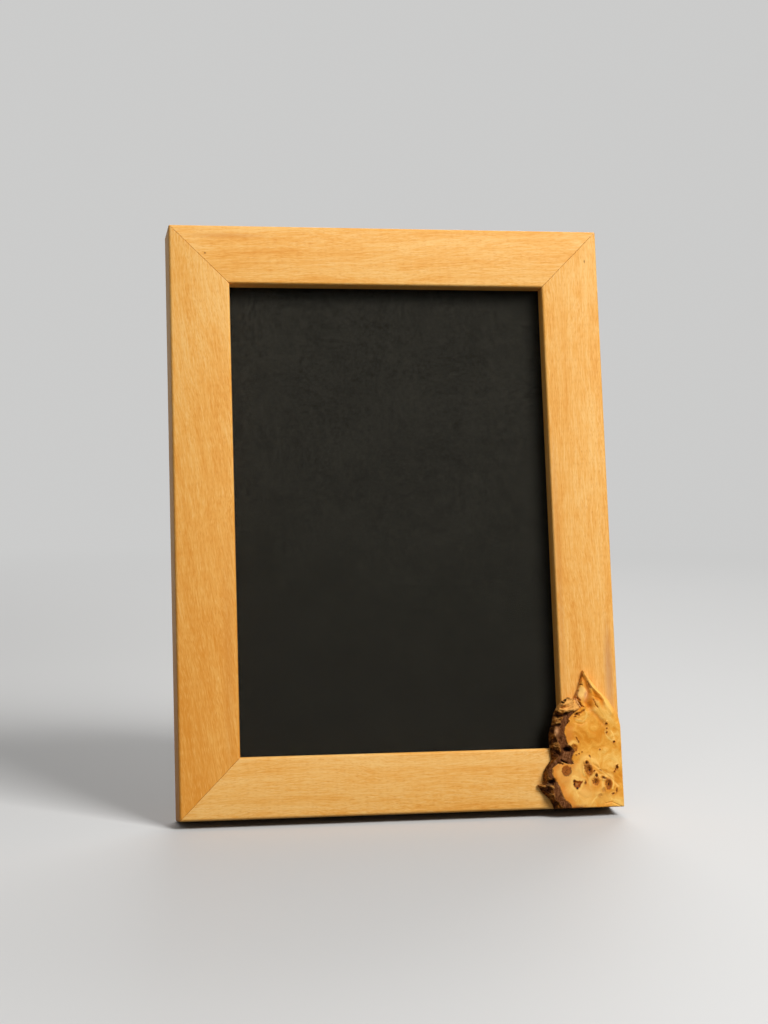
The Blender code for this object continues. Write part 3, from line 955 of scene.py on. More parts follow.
@dataclass
class Moulding:
    """The four mitred rails, with a lip over the print and eased edges."""

    space: Space
    lip_depth: float = 6.5 * MM
    lip_width: float = 7.5 * MM
    arris: float = 1.2 * MM
    arris_steps: int = 6
    rear_arris: float = 0.5 * MM
    rear_steps: int = 3
    mitre_gap: float = 0.08 * MM
    mitre_groove: float = 0.10 * MM
    corner_round: float = 1.0 * MM
    corner_cuts: tuple[float, ...] = (15.0, 30.0, 45.0)

    marks: ClassVar[dict[str, tuple[Mark, ...]]] = {
        "top_rail": (
            Mark((-77.0, 234.0), (0.55, 0.45), (0.10, 0.025, 0.003), 0.85),
            Mark((-68.0, 241.5), (20.0, 1.6), (0.62, 0.215, 0.025), 0.45),
        ),
        "right_stile": (
            Mark((86.5, 232.7), (0.4, 0.9), (0.20, 0.055, 0.008), 0.8),
            Mark((88.6, 56.0), (2.4, 24.0), (0.46, 0.20, 0.10), 0.50),
            Mark((69.0, 100.0), (1.8, 70.0), (0.62, 0.22, 0.03), 0.45),
        ),
        "left_stile": (Mark((-71.0, 60.0), (3.0, 60.0), (0.62, 0.215, 0.022), 0.30),),
    }
    # The stiles' drift is painted shade, darker towards the bottom; the left stile's higher warmth is partly its
    # own tone and partly painted shade of the light falling off to the left.
    boards: ClassVar[dict[str, Board]] = {
        "bottom_rail": Board(Grain.ACROSS, (0, 4, 11), 0.37),
        "top_rail": Board(Grain.ACROSS, (210, 31, -60), 0.39, 3.0),
        "left_stile": Board(Grain.UPRIGHT, (430, 17, 23), 0.70, 7.0, -1.4e-3),
        "right_stile": Board(Grain.UPRIGHT, (-300, 57, 5), 0.47, 1.0, -3e-4),
    }

    def __post_init__(self) -> None:
        """Measures the CAD rails."""
        low, high = self.space.box("bottom_rail")
        self.depth = high.y - low.y
        self.rail_width = high.z - low.z
        self.width = 2 * self.space.box("right_stile")[1].x
        self.height = self.space.box("top_rail")[1].z
        self.wall = self.rail_width - self.lip_width

    def model(self, name: str, length: float) -> Bench:
        """Models a rail along x, its outer edge at z = 0 and its front at y = 0.

        Args:
            name: The rail's name.
            length: Its length along the outer edge.

        Returns:
            The rail on its bench.
        """
        half = length / 2
        rail = Bench.block(name, (-half, 0, 0), (half, self.lip_depth, self.rail_width))
        rail.cut((0, 0, self.wall), (0, 0, 1), shave=False)
        rail.pick("FACE", lambda f: f.normal.y > ALONG and f.calc_center_median().z < self.wall)
        rail.extrude((0, self.depth - self.lip_depth, 0))
        for y, width, steps, heights in (
            (0.0, self.arris, self.arris_steps, (0.0, self.rail_width)),
            (self.depth, self.rear_arris, self.rear_steps, (0.0, self.wall)),
        ):
            rail.pick("EDGE", lambda e: runs_along(e, 0) and lies_at(e, 1, y) and lies_at(e, 2, *heights))
            rail.bevel(width, steps)
        for side in (-1, 1):
            self.mitre(rail, side, half)
        rail.leave_edit()
        return rail

    def mitre(self, rail: Bench, side: int, half: float) -> None:
        """Cuts one end of a rail to its mitre and eases its corner.

        Args:
            rail: The rail.
            side: -1 for the end at -x, 1 for the other.
            half: Half the rail's length.
        """
        normal = Vector((side, 0, 1)).normalized()
        point = Vector((side * half, 0, 0)) - normal * self.mitre_gap / 2
        rail.cut(point, normal)
        front = self.arris / 2
        rail.pick("EDGE", lambda e: all(abs((v.co - point).dot(normal)) < NEAR and v.co.y < front
                                        for v in e.verts))
        rail.bevel(self.mitre_groove, 1)
        centre = Vector((side * (half - self.corner_round), 0, self.corner_round))
        for angle in self.corner_cuts:
            turn = math.radians(angle)
            facing = Vector((side * math.sin(turn), 0, -math.cos(turn)))
            rail.cut(centre + facing * self.corner_round, facing)

    def build(self, cutters: Sequence[tuple[Bench, tuple[str, ...]]]) -> None:
        """Builds the four rails.

        Args:
            cutters: What is cut out, in the frame's space, and the rails that it is cut out of.
        """
        lean = -self.space.matrix.to_euler().x
        foot = self.space.matrix.to_3x3().inverted() @ self.space.matrix.translation / MM
        middle = self.height / 2
        places = {
            "bottom_rail": Matrix.Identity(4),
            "top_rail": Matrix.Translation((0, 0, self.height)) @ spin(180),
            "left_stile": Matrix.Translation((-self.width / 2, 0, middle)) @ spin(90),
            "right_stile": Matrix.Translation((self.width / 2, 0, middle)) @ spin(-90),
        }
        masters = {
            Grain.ACROSS: self.model("rail_master", self.width),
            Grain.UPRIGHT: self.model("stile_master", self.height),
        }
        for name, place in places.items():
            board = self.boards[name]
            rail = masters[board.grain].copy(f"{name}_moulding").carry(place)
            for cutter, rails in cutters:
                if name in rails:
                    rail.combine(cutter, "DIFFERENCE", keep=True)
            wood = OiledBeech(f"beech_{name}", lean, board, self.marks.get(name, ()), tuple(foot))
            rail.finish(self.space, wood.build(), Slot.BEECH, Body.FRAME.value, name)
        for master in (*masters.values(), *(cutter for cutter, _ in cutters)):
            master.scrap()


@dataclass(frozen=True)
class LineColour:
    """Colour along a line, strongest on it, and how far the line is moved. Millimetres. Some lines carry cracks
    and dark streaks in the wood, some painted shade, and some painted highlights.
    """

    mask: Mask
    share: float
    reach: float
    ragged: bool = False
    shift: Point = (0.0, 0.0)


@dataclass(frozen=True)
class Relief:
    """A ridge, or with a negative rise a groove, along a line on the slab, and its colour. Millimetres."""

    line: tuple[Point, ...]
    width: float
    rise: float
    line_colour: LineColour | None = None


@dataclass(frozen=True)
class Oval:
    """An oval on the slab. Millimetres and degrees."""

    centre: Point
    half: Point
    turn: float = 0.0

    def size(self, spots: Field) -> Field:
        """Measures how far points lie from the centre.

        Args:
            spots: The points, two columns.

        Returns:
            The distances, as a share of the oval's half widths along that way.
        """
        angle = math.radians(self.turn)
        offset = spots - np.array(self.centre)
        across = offset[:, 0] * math.cos(angle) + offset[:, 1] * math.sin(angle)
        along = -offset[:, 0] * math.sin(angle) + offset[:, 1] * math.cos(angle)
        return np.hypot(across / self.half[0], along / self.half[1])


@dataclass(frozen=True)
class Swell(Oval):
    """A rounded rise, or with a negative rise a hollow."""

    rise: float = 0.0


@dataclass(frozen=True)
class Patch(Oval):
    """An oval of colour, strongest at its centre."""

    mask: Mask = Mask.DARK
    share: float = 1.0
    ragged: bool = False


@dataclass(frozen=True)
class Eye(Oval):
    """A bud eye: a ring of dark wood, its heart, and how deep the heart has opened."""

    ring: float = 0.8
    heart: float = 0.8
    depth: float = 0.15


@dataclass(frozen=True)
class Grit:
    """A fractal pattern: the size of its largest features, its finer layers, its seed and its squeeze."""

    size: float
    layers: int
    seed: float
    squeeze: Span = (1.0, 1.0, 1.0)

    def over(self, solid: Field) -> Field:
        """Works the pattern out.

        Args:
            solid: Points in millimetres, three columns.

        Returns:
            A value for each point, roughly from -1 to 1.
        """
        shift = Vector((self.seed, 2 * self.seed, -self.seed))
        places = solid * self.squeeze
        return np.array([noise.fractal(Vector(p) / self.size + shift, 1.0, 2.0, self.layers) for p in places])


def line_distance(spots: Field, line: Sequence[Point], closed: bool = False) -> tuple[Field, Field]:
    """Measures how far points lie from a line of straight stretches.

    Args:
        spots: The points, two columns.
        line: The line's corners.
        closed: Whether the last corner joins the first.

    Returns:
        Each point's distance, and the nearest place on the line.
    """
    corners = np.array(line, float)
    starts = corners if closed else corners[:-1]
    ends = np.roll(corners, -1, axis=0) if closed else corners[1:]
    best = np.full(len(spots), np.inf)
    nearest = np.zeros_like(spots)
    for start, end in zip(starts, ends):
        run = end - start
        share = np.clip(((spots - start) @ run) / max(run @ run, 1e-12), 0, 1)
        place = start + share[:, None] * run
        gap = np.linalg.norm(spots - place, axis=1)
        closer = gap < best
        best[closer] = gap[closer]
        nearest[closer] = place[closer]
    return best, nearest


def inside(spots: Field, outline: Sequence[Point]) -> Field:
    """Finds which points lie inside a closed outline.

    Args:
        spots: The points, two columns.
        outline: The outline's corners.

    Returns:
        True for each point inside.
    """
    corners = np.array(outline, float)
    crossed = np.zeros(len(spots), bool)
    for (x1, y1), (x2, y2) in zip(corners, np.roll(corners, -1, axis=0)):
        spans = (y1 > spots[:, 1]) != (y2 > spots[:, 1])
        rise = y2 - y1 if abs(y2 - y1) > 1e-12 else 1e-12
        meets = x1 + (spots[:, 1] - y1) * (x2 - x1) / rise
        crossed ^= spans & (spots[:, 0] < meets)
    return crossed


def spots_lean(spots: Field, centre: Point) -> Field:
    """How far points lie to the lower right of a centre, in millimetres."""
    return (centre[0] - spots[:, 0] + centre[1] - spots[:, 1]) / math.sqrt(2)


def ease(values: Field, low: float, high: float) -> Field:
    """A smooth climb from 0 to 1 as values go from low to high."""
    share = np.clip((values - low) / (high - low), 0, 1)
    return share * share * (3 - 2 * share)


def glow(distance: Field, reach: float = 1.0, at: float = 0.0) -> Field:
    """A value that is 1 at a distance and fades to both sides of it."""
    return np.exp(-(((distance - at) / reach) ** 2))


@dataclass
class Ground:
    """Where the slab's vertices lie, how far from its outlines, which are bark, and how rough that is."""

    spots: Field
    solid: Field
    level: Field
    reach: Field
    nearest: Field
    lip_reach: Field
    to_face: Field
    to_band: Field
    bark: Field
    band: Field
    knob: Field
    crags: Field
    flakes: Field

    @property
    def side(self) -> Field:
        """True on the bark's rough side."""
        return self.bark & ~self.band & ~self.knob


class Canvas:
    """The masks that are painted on the slab's vertices."""

    def __init__(self, spots: Field, rag: Field, unevenness: float) -> None:
        """Starts with every mask empty.

        Args:
            spots: The vertices' places, two columns.
            rag: How uneven edges are there, two columns.
            unevenness: How far that moves them, in millimetres.
        """
        self.spots = spots
        self.rag = rag
        self.ragged = spots + unevenness * rag
        self.masks = {mask: np.zeros(len(spots)) for mask in Mask}

    def lay(self, mask: Mask, values: Field) -> None:
        """Adds to a mask where the values are higher."""
        self.masks[mask] = np.maximum(self.masks[mask], values)

    def line(self, line: Sequence[Point], line_colour: LineColour) -> None:
        """Lays colour along a line."""
        gap, _ = line_distance((self.ragged if line_colour.ragged else self.spots) + line_colour.shift, line)
        self.lay(line_colour.mask, line_colour.share * glow(gap, line_colour.reach))

    def patch(self, patch: Patch, where: Field | bool = True) -> None:
        """Lays an oval of colour, only where that is true."""
        size = patch.size(self.ragged if patch.ragged else self.spots)
        self.lay(patch.mask, np.where(where, patch.share * glow(size), 0))

    def pit(self, pit: Oval, inner: float, outer: float) -> None:
        """Darkens a small pit, fading between two shares of its size."""
        self.lay(Mask.DARK, 1 - ease(pit.size(self.ragged), inner, outer))

    def save(self, piece: Object) -> None:
        """Stores the masks on a piece's mesh."""
        for mask, values in self.masks.items():
            layer = piece.data.attributes.new(mask.value, "FLOAT", "POINT")
            layer.data.foreach_set("value", np.clip(values, -4, 4).astype(np.float32))


@dataclass
class BurlSlab:
    """The live-edge slab on the lower right corner, laid out left of and up from the frame's corner.

    The outline follows the slab's CAD solid. Inside it lie the sanded face, the flat band of bark that was
    cut through with it, the knob at the band's upper end, and round them the bark's rough side.
    """

    space: Space
    voxel: float = 0.155
    blank: float = 2.0
    edge_rise: float = 2.4
    slope: float = 0.0765
    ripple: float = 0.045
    rim: float = 0.7
    petal_rim: float = -0.30
    lip_narrow: float = 0.7
    lip_wide: float = 2.6
    bark_edge: float = 1.3
    right_round: float = 0.9
    bottom_round: float = 0.6
    rail_arris: float = 1.2
    inset: float = 0.02
    snap_share: float = 0.7
    least: float = 0.45
    edge_height: float = 1.0
    side_edge: float = 0.35
    lip_top: float = 56.0
    lip_run: float = 9.0
    petal_span: Point = (43.5, 46.5)
    terrace: float = 0.7
    terrace_share: float = 0.55
    ripples: float = 9.0
    warp: float = 0.40
    unevenness: float = 0.26
    warps: tuple[Grit, Grit] = (Grit(2.2, 3, 3.1), Grit(2.2, 3, 8.7))
    rags: tuple[Grit, Grit] = (Grit(0.7, 3, 61.0), Grit(0.7, 3, 67.0))
    crags: Grit = Grit(3.1, 5, 21.0, (1, 1.25, 1))
    flakes: Grit = Grit(1.5, 4, 33.0, (0.45, 1, 1))
    planes: Grit = Grit(3.4, 2, 25.0, (1, 1.4, 1))
    bites: Grit = Grit(1.2, 3, 51.0, (1, 1, 1.6))
    waves: Grit = Grit(7.0, 2, 4.0, (1, 1, 0))
    broad_figure: Grit = Grit(9.0, 3, 71.0, (1, 1, 0))
    close_figure: Grit = Grit(3.4, 2, 77.0, (1, 1, 0))
    outline: tuple[Point, ...] = (
        (0.0, 0.0), (29.5, 0.0), (31.6, 4.1), (34.5, 6.8), (36.6, 10.1), (33.8, 10.6), (34.0, 13.6),
        (33.2, 16.1), (31.8, 18.2), (30.0, 20.4), (30.8, 26.6), (30.7, 31.0), (29.3, 34.8), (28.5, 38.9),
        (27.2, 41.4), (24.7, 44.2), (22.0, 45.8), (19.3, 44.8), (18.4, 47.3), (16.9, 50.4), (15.8, 54.3),
        (15.0, 57.0), (12.6, 53.6), (8.4, 48.4), (4.7, 44.4), (0.8, 38.1), (0.0, 35.4),
    )
    lip_corners: int = 6
    face: tuple[Point, ...] = (
        (-1.0, -1.0), (22.9, -1.0), (23.0, 0.6), (23.3, 1.6), (25.6, 3.9), (27.0, 6.2), (27.7, 8.8),
        (28.8, 10.8), (30.1, 12.3), (30.7, 15.0), (30.3, 16.8), (28.4, 18.3), (26.5, 18.9), (24.9, 18.2),
        (22.6, 17.5), (21.4, 18.1), (22.0, 20.4), (21.6, 22.2), (20.3, 23.5), (22.2, 25.3), (23.3, 26.4),
        (24.2, 28.7), (24.7, 31.4), (24.4, 33.3), (23.7, 34.4), (22.7, 35.9), (22.0, 37.4), (20.1, 39.4),
        (18.4, 40.4), (17.3, 41.4), (18.1, 43.1), (19.1, 45.6), (20.3, 47.5), (18.4, 51.0), (17.2, 55.0),
        (15.6, 59.0), (11.4, 55.0), (7.5, 49.5), (3.8, 45.4), (-1.0, 38.5),
    )
    band: tuple[Point, ...] = (
        (10.0, -1.0), (26.9, -1.0), (26.9, 0.6), (28.0, 1.7), (30.2, 4.4), (30.9, 7.4), (30.2, 10.0),
        (30.7, 11.6), (32.6, 13.1), (33.2, 16.2), (32.0, 18.0), (29.5, 19.8), (28.9, 20.6), (27.4, 21.6),
        (26.5, 23.6), (26.9, 25.2), (27.6, 27.0), (28.8, 29.5), (29.4, 32.3), (28.6, 33.4), (26.4, 35.2),
        (25.6, 36.8), (24.8, 38.1), (22.3, 39.3), (20.1, 39.7), (18.0, 38.0), (10.0, 30.0),
    )
    knob: tuple[Point, ...] = (
        (16.6, 41.0), (18.2, 43.1), (19.2, 45.6), (20.7, 46.4), (22.8, 46.2), (24.9, 44.9), (26.8, 42.8),
        (28.0, 40.7), (25.8, 39.3), (22.5, 39.7), (20.1, 40.1), (18.2, 40.3),
    )
    reliefs: tuple[Relief, ...] = (
        Relief(((14.4, 53.9), (12.8, 51.3), (11.1, 49.6), (8.9, 47.9), (6.7, 46.2), (5.2, 44.2),
                (4.3, 41.6), (3.6, 39.2)), 1.2, 0.45),
        # The valley left of the fold, darkened with painted shade.
        Relief(((14.9, 53.8), (13.9, 49.8), (13.7, 47.4), (14.5, 45.3), (14.9, 43.4), (13.6, 41.6)),
               1.15, -1.05, LineColour(Mask.HOLLOW_SHADE, 0.9, 1.2)),
        Relief(((11.6, 45.9), (10.2, 45.5), (9.0, 44.9), (8.2, 44.3)), 0.40, -0.30),
        Relief(((11.6, 44.6), (11.1, 43.6), (10.7, 42.2), (9.8, 41.2)), 0.26, -0.32,
               LineColour(Mask.RUST_AND_SHADE, 0.85, 0.208, True)),
        # A painted shadow along the petal's left edge.
        Relief(((17.7, 48.4), (18.4, 46.6), (18.3, 45.4), (17.4, 44.2)), 0.30, -0.55,
               LineColour(Mask.RUST_AND_SHADE, 0.85, 0.28)),
        Relief(((17.6, 51.3), (16.7, 51.0), (15.9, 50.6)), 0.26, -0.55, LineColour(Mask.RUST_AND_SHADE, 0.85, 0.208, True)),
        Relief(((18.5, 45.2), (17.7, 43.3), (16.9, 41.9), (16.2, 41.5)), 0.32, -1.0),
        Relief(((15.0, 42.0), (16.5, 40.7), (18.2, 39.7), (20.3, 39.7)), 0.50, 0.60),
        Relief(((15.9, 40.1), (17.4, 39.0), (18.9, 38.6), (20.0, 38.3)), 0.32, -0.60,
               LineColour(Mask.RUST_AND_SHADE, 0.85, 0.256, True)),
        # A low ridge with a painted highlight beside it.
        Relief(((19.9, 36.6), (17.0, 35.9), (15.5, 37.2), (15.1, 39.2)), 0.35, 0.14,
               LineColour(Mask.PALE, 0.7, 0.4, shift=(0.25, 0.35))),
        Relief(((20.4, 35.2), (17.5, 34.3), (15.2, 35.4), (14.0, 37.8)), 0.35, -0.12),
        # A shallow groove, darkened with painted shade.
        Relief(((13.3, 40.2), (11.9, 39.2), (10.5, 37.8), (9.1, 36.3), (7.4, 34.6)), 0.90, -0.30,
               LineColour(Mask.HOLLOW_SHADE, 0.6, 0.9)),
        # A crack with a painted highlight along its edge.
        Relief(((13.1, 17.8), (10.8, 16.2), (8.5, 14.3), (5.1, 11.5), (2.5, 8.8)), 0.40, -0.14,
               LineColour(Mask.PALE, 0.7, 0.4, shift=(0.25, 0.35))),
        Relief(((8.4, 1.6), (5.6, 2.1), (1.3, 0.1)), 0.22, -0.22),
        Relief(((2.2, 17.2), (2.6, 16.3), (3.1, 15.6), (3.8, 14.5)), 0.28, -0.45,
               LineColour(Mask.RUST_AND_SHADE, 0.85, 0.224, True)),
        Relief(((27.9, 40.8), (25.8, 40.5), (23.3, 40.2), (20.6, 40.5), (18.6, 40.8)), 0.50, 0.55),
        Relief(((26.9, 42.3), (24.6, 42.4), (22.4, 43.2), (20.6, 44.6)), 0.55, 0.45),
        Relief(((26.6, 41.5), (24.0, 41.3), (21.6, 41.8), (19.4, 43.4)), 0.40, -0.50),
        Relief(((19.3, 45.5), (18.6, 43.4), (17.6, 41.6)), 0.28, 0.35, LineColour(Mask.PINK, 0.8, 0.3)),
    )
    bark_reliefs: tuple[Relief, ...] = (
        Relief(((29.2, 38.6), (27.4, 38.2), (25.2, 38.1), (23.6, 38.8)), 0.55, -1.6),
        Relief(((29.0, 36.6), (27.2, 36.9), (25.9, 37.2)), 0.45, 0.45),
        Relief(((29.6, 35.0), (28.3, 35.1), (26.9, 35.5)), 0.40, 0.80),
        Relief(((29.8, 33.9), (28.2, 34.1), (26.8, 34.3)), 0.45, -1.1),
        Relief(((26.9, 19.8), (25.8, 19.2), (24.4, 18.7)), 0.32, -1.3),
        Relief(((28.1, 18.7), (26.1, 18.2)), 0.28, -0.7),
        Relief(((36.9, 10.0), (34.6, 9.7), (32.2, 9.6), (30.9, 8.7)), 0.60, 0.70),
        Relief(((35.2, 8.2), (33.0, 7.3), (31.5, 6.4)), 0.50, -0.80),
        Relief(((29.6, 24.6), (28.0, 23.4), (27.4, 22.0)), 0.60, -1.2),
    )
    swells: tuple[Swell, ...] = (
        Swell((15.7, 54.4), (0.5, 1.9), -10.0, -0.55),
        Swell((9.3, 43.3), (1.3, 1.9), -15.0, 0.75),
        Swell((16.9, 46.9), (2.5, 3.0), 8.0, 0.50),
        Swell((18.4, 49.0), (3.0, 3.8), 10.0, -2.0),
        Swell((15.5, 51.9), (0.6, 0.5), 0.0, 0.25),
        Swell((17.0, 32.0), (4.5, 4.0), 0.0, 0.35),
        Swell((10.0, 26.0), (4.0, 8.0), 20.0, -0.30),
        Swell((14.0, 5.5), (7.0, 4.0), 0.0, 0.25),
        Swell((6.2, 35.2), (0.45, 0.4), 0.0, 0.30),
        Swell((5.1, 30.0), (1.2, 2.7), -31.0, 0.25),
        Swell((24.0, 24.3), (1.45, 0.80), 0.0, -3.2),
        Swell((22.9, 24.0), (0.75, 0.55), 0.0, -2.2),
        Swell((30.9, 11.1), (1.15, 0.75), -35.0, -3.0),
        Swell((23.6, 42.2), (4.0, 2.4), 15.0, 0.35),
        Swell((24.9, 44.1), (0.40, 0.40), 0.0, 0.45),
        Swell((23.6, 44.9), (0.40, 0.35), 0.0, 0.50),
        Swell((22.5, 45.4), (0.40, 0.35), 0.0, 0.50),
        Swell((20.8, 45.4), (0.40, 0.35), 0.0, 0.45),
        Swell((28.4, 31.6), (0.9, 1.6), 10.0, 0.55),
        Swell((27.0, 28.6), (0.8, 1.4), 10.0, -0.50),
    )
    eyes: tuple[Eye, ...] = (
        Eye((15.2, 16.1), (1.75, 2.9), -16.0, 0.85, 0.30, 0.25),
        Eye((15.9, 18.5), (0.75, 0.80), 0.0, 0.9, 1.0, 0.45),
        Eye((14.9, 15.7), (0.85, 1.5), -14.0, 0.95, 1.0, 0.40),
        Eye((12.2, 10.7), (1.5, 1.55), 0.0, 0.85, 0.30, 0.22),
        Eye((12.2, 10.6), (0.75, 0.85), 20.0, 0.8, 0.95, 0.25),
        Eye((11.8, 13.1), (0.60, 0.90), 0.0, 1.0, 1.0, 0.45),
        Eye((6.6, 9.5), (1.45, 2.2), 6.0, 1.0, 0.35, 0.25),
        Eye((6.5, 9.4), (0.70, 1.3), 6.0, 0.8, 0.90, 0.25),
        Eye((8.5, 12.1), (1.25, 0.60), 25.0, 0.9, 0.85, 0.20),
        Eye((2.6, 16.3), (0.55, 0.90), -20.0, 0.9, 0.95, 0.40),
        Eye((3.8, 14.5), (0.40, 0.45), 0.0, 0.7, 0.7, 0.12),
        Eye((20.9, 24.7), (1.35, 1.45), 0.0, 0.95, 0.05, 0.10),
        Eye((12.8, 15.0), (0.50, 0.42), 0.0, 0.9, 0.95, 0.15),
        Eye((9.9, 15.3), (0.70, 0.32), 25.0, 0.55, 0.45, 0.08),
        Eye((9.7, 23.8), (0.36, 0.32), 0.0, 0.8, 0.9, 0.10),
        Eye((19.7, 28.4), (0.36, 0.85), -25.0, 0.8, 0.7, 0.12),
        Eye((19.0, 27.3), (0.34, 0.60), -25.0, 0.8, 0.7, 0.12),
        Eye((14.3, 21.1), (0.36, 0.80), -20.0, 0.7, 0.6, 0.10),
        Eye((16.7, 10.4), (0.38, 0.95), 0.0, 0.85, 0.8, 0.12),
        Eye((4.8, 5.5), (0.75, 0.42), -15.0, 0.85, 0.8, 0.12),
        Eye((3.2, 6.9), (0.42, 0.95), 10.0, 0.8, 0.7, 0.12),
        Eye((20.2, 21.8), (0.42, 0.38), 0.0, 0.7, 0.7, 0.10),
        Eye((19.0, 22.2), (0.38, 0.34), 0.0, 0.7, 0.7, 0.10),
        Eye((6.4, 34.3), (0.60, 0.42), 0.0, 0.9, 1.0, 0.30),
        Eye((6.3, 32.4), (0.42, 0.34), 0.0, 0.8, 0.8, 0.15),
        Eye((6.4, 30.8), (0.34, 0.55), 0.0, 0.8, 0.7, 0.12),
        Eye((3.4, 26.8), (0.52, 0.52), 0.0, 0.9, 1.0, 0.25),
        Eye((19.2, 38.6), (0.55, 0.50), 0.0, 0.9, 0.9, 0.30),
        Eye((18.3, 38.2), (0.45, 0.40), 0.0, 0.9, 0.8, 0.20),
        Eye((19.9, 37.6), (0.55, 0.40), 0.0, 0.9, 0.9, 0.25),
        Eye((22.8, 35.8), (0.40, 0.45), 0.0, 0.6, 1.0, 0.30),
        Eye((17.6, 22.9), (0.30, 0.45), 0.0, 0.6, 0.5, 0.08),
        Eye((10.6, 5.0), (1.0, 0.7), 0.0, 0.35, 0.15, 0.08),
        Eye((8.9, 7.2), (0.9, 1.1), 20.0, 0.40, 0.15, 0.10),
    )
    pale_strokes: tuple[tuple[Point, ...], ...] = (
        ((20.7, 7.2), (20.7, 6.0), (20.2, 4.8)), ((14.4, 2.0), (13.3, 3.4), (12.0, 4.6)),
        ((17.0, 13.2), (17.4, 14.9), (17.3, 17.0)), ((5.6, 3.3), (3.7, 2.9), (1.8, 2.3)),
        ((22.4, 13.0), (21.2, 13.2), (19.7, 12.3)), ((5.0, 7.6), (4.4, 9.4), (4.6, 11.4)),
    )
    hollow: tuple[Point, ...] = (
        (14.0, 52.6), (13.4, 51.6), (12.3, 50.0), (10.2, 48.1), (8.1, 46.5), (6.9, 44.6), (6.4, 42.2),
        (6.3, 39.5), (7.5, 38.8), (9.8, 41.2), (10.7, 42.2), (11.6, 44.6), (11.9, 46.2), (12.7, 48.6),
    )
    hollow_lip_corners: int = 8
    hollow_depth: float = 1.15
    # Painted shade on the hollow's floor.
    hollow_floor: Patch = Patch((9.8, 46.4), (2.8, 1.5), 40.0, Mask.HOLLOW_SHADE, 0.9)
    hollow_bulge: Oval = Oval((9.2, 43.0), (1.1, 1.5), -15.0)
    petal: Oval = Oval((16.5, 47.0), (2.9, 3.4), 8.0)
    drop: Oval = Oval((5.2, 30.0), (1.4, 2.9), -31.0)
    drop_top: float = 31.5
    knob_gap: tuple[Point, ...] = ((18.1, 43.9), (17.5, 42.7), (16.9, 41.9))
    round_knot: Swell = Swell((24.8, 15.5), (2.2, 2.2), 0.0, -0.18)
    leaf_knot: tuple[Point, ...] = (
        (21.8, 11.6), (21.9, 9.3), (20.4, 7.8), (19.3, 8.8), (18.0, 10.9), (19.6, 10.9), (20.9, 11.2),
    )
    leaf_pits: tuple[Oval, ...] = (
        Oval((21.6, 11.2), (0.55, 0.5)), Oval((20.4, 8.2), (0.7, 0.55)), Oval((21.6, 10.0), (0.3, 1.1)),
    )
    # The first three are the bark's two holes and its slot, darkened with painted shade; the rest are dark spots
    # on the knob.
    pits: tuple[Oval, ...] = (
        Oval((24.0, 24.3), (1.75, 1.0)), Oval((22.9, 24.0), (0.9, 0.7)), Oval((30.9, 11.1), (1.3, 0.9)),
        Oval((24.9, 44.1), (0.5, 0.4)), Oval((23.6, 44.9), (0.5, 0.4)), Oval((22.5, 45.4), (0.5, 0.35)),
        Oval((20.8, 45.5), (0.5, 0.35)),
    )
    patches: tuple[Patch, ...] = (
        # Painted shade on the tip's left face.
        Patch((15.75, 54.9), (0.40, 1.6), -10.0, Mask.RUST_AND_SHADE, 0.6),
        # A painted highlight on the petal.
        Patch((14.7, 46.6), (1.0, 2.1), 12.0, Mask.PINK, 0.85),
        # Painted shade on the petal's left flank.
        Patch((18.8, 45.2), (0.6, 1.2), 12.0, Mask.HOLLOW_SHADE, 0.5),
        # Painted shade in the valley below the fold.
        Patch((12.7, 43.4), (1.8, 4.4), 0.0, Mask.HOLLOW_SHADE, 0.95),
        # Painted shade beside the tip's fold.
        Patch((15.6, 53.4), (0.9, 2.6), -10.0, Mask.HOLLOW_SHADE, 0.9),
        Patch((9.5, 4.2), (8.5, 3.2), 0.0, Mask.PALE, 0.35, True),
        Patch((23.0, 29.8), (1.9, 4.6), 8.0, Mask.SAP, 0.85, True),
        Patch((25.5, 13.0), (5.0, 5.5), 0.0, Mask.SAP, 0.70, True),
        Patch((17.0, 9.0), (9.0, 8.0), 0.0, Mask.SAP, 0.45, True),
        Patch((20.3, 0.3), (3.5, 0.9), 0.0, Mask.RUST_AND_SHADE, 0.8, True),
        # A painted highlight on a raised bit of bark.
        Patch((28.4, 31.6), (0.8, 1.5), 10.0, Mask.PINK, 0.75, True),
        # A painted highlight on the spike's upper edge.
        Patch((32.2, 10.3), (1.2, 0.5), 0.0, Mask.PINK, 0.8, True),
        Patch((25.2, 15.1), (0.25, 1.1), 25.0, Mask.DARK, 0.35, True),
        Patch((24.1, 16.0), (0.9, 0.22), -20.0, Mask.DARK, 0.35, True),
    )
    # Lighter tan on the bark's side: painted highlights.
    side_highlights: tuple[Patch, ...] = (
        Patch((27.6, 36.8), (1.3, 0.9), 0.0, Mask.TAN, 0.5, True),
        Patch((28.6, 25.8), (1.2, 1.5), 0.0, Mask.TAN, 0.35, True),
        Patch((33.0, 13.0), (0.8, 2.2), 10.0, Mask.TAN, 0.35, True),
        Patch((31.2, 28.6), (0.5, 1.5), 0.0, Mask.TAN, 0.3, True),
    )

    def build(self, finish: Material) -> None:
        """Builds the slab.

        Args:
            finish: The burl's material.
        """
        corner_x = low_corner(self.space).x
        corners = [(corner_x - left * MM, 0.0, up * MM) for left, up in self.outline]
        slab = Bench.plate("burl_slab", corners, (0, -self.blank * MM, 0))
        slab.modify("REMESH", mode="VOXEL", voxel_size=self.voxel * MM)
        self.sculpt(slab.piece, corner_x)
        slab.pick("FACE", lambda f: f.normal.y > FLAT and all(abs(v.co.y + GLUED) < NEAR for v in f.verts))
        bpy.ops.mesh.delete(type="FACE")
        bpy.ops.mesh.select_mode(type="EDGE")
        bpy.ops.mesh.select_non_manifold(extend=False, use_wire=False, use_multi_face=False,
                                         use_non_contiguous=False, use_verts=False)
        bpy.ops.mesh.fill_holes(sides=0)
        slab.finish(self.space, finish, Slot.BURL, Body.FRAME.value, "burl_corner")

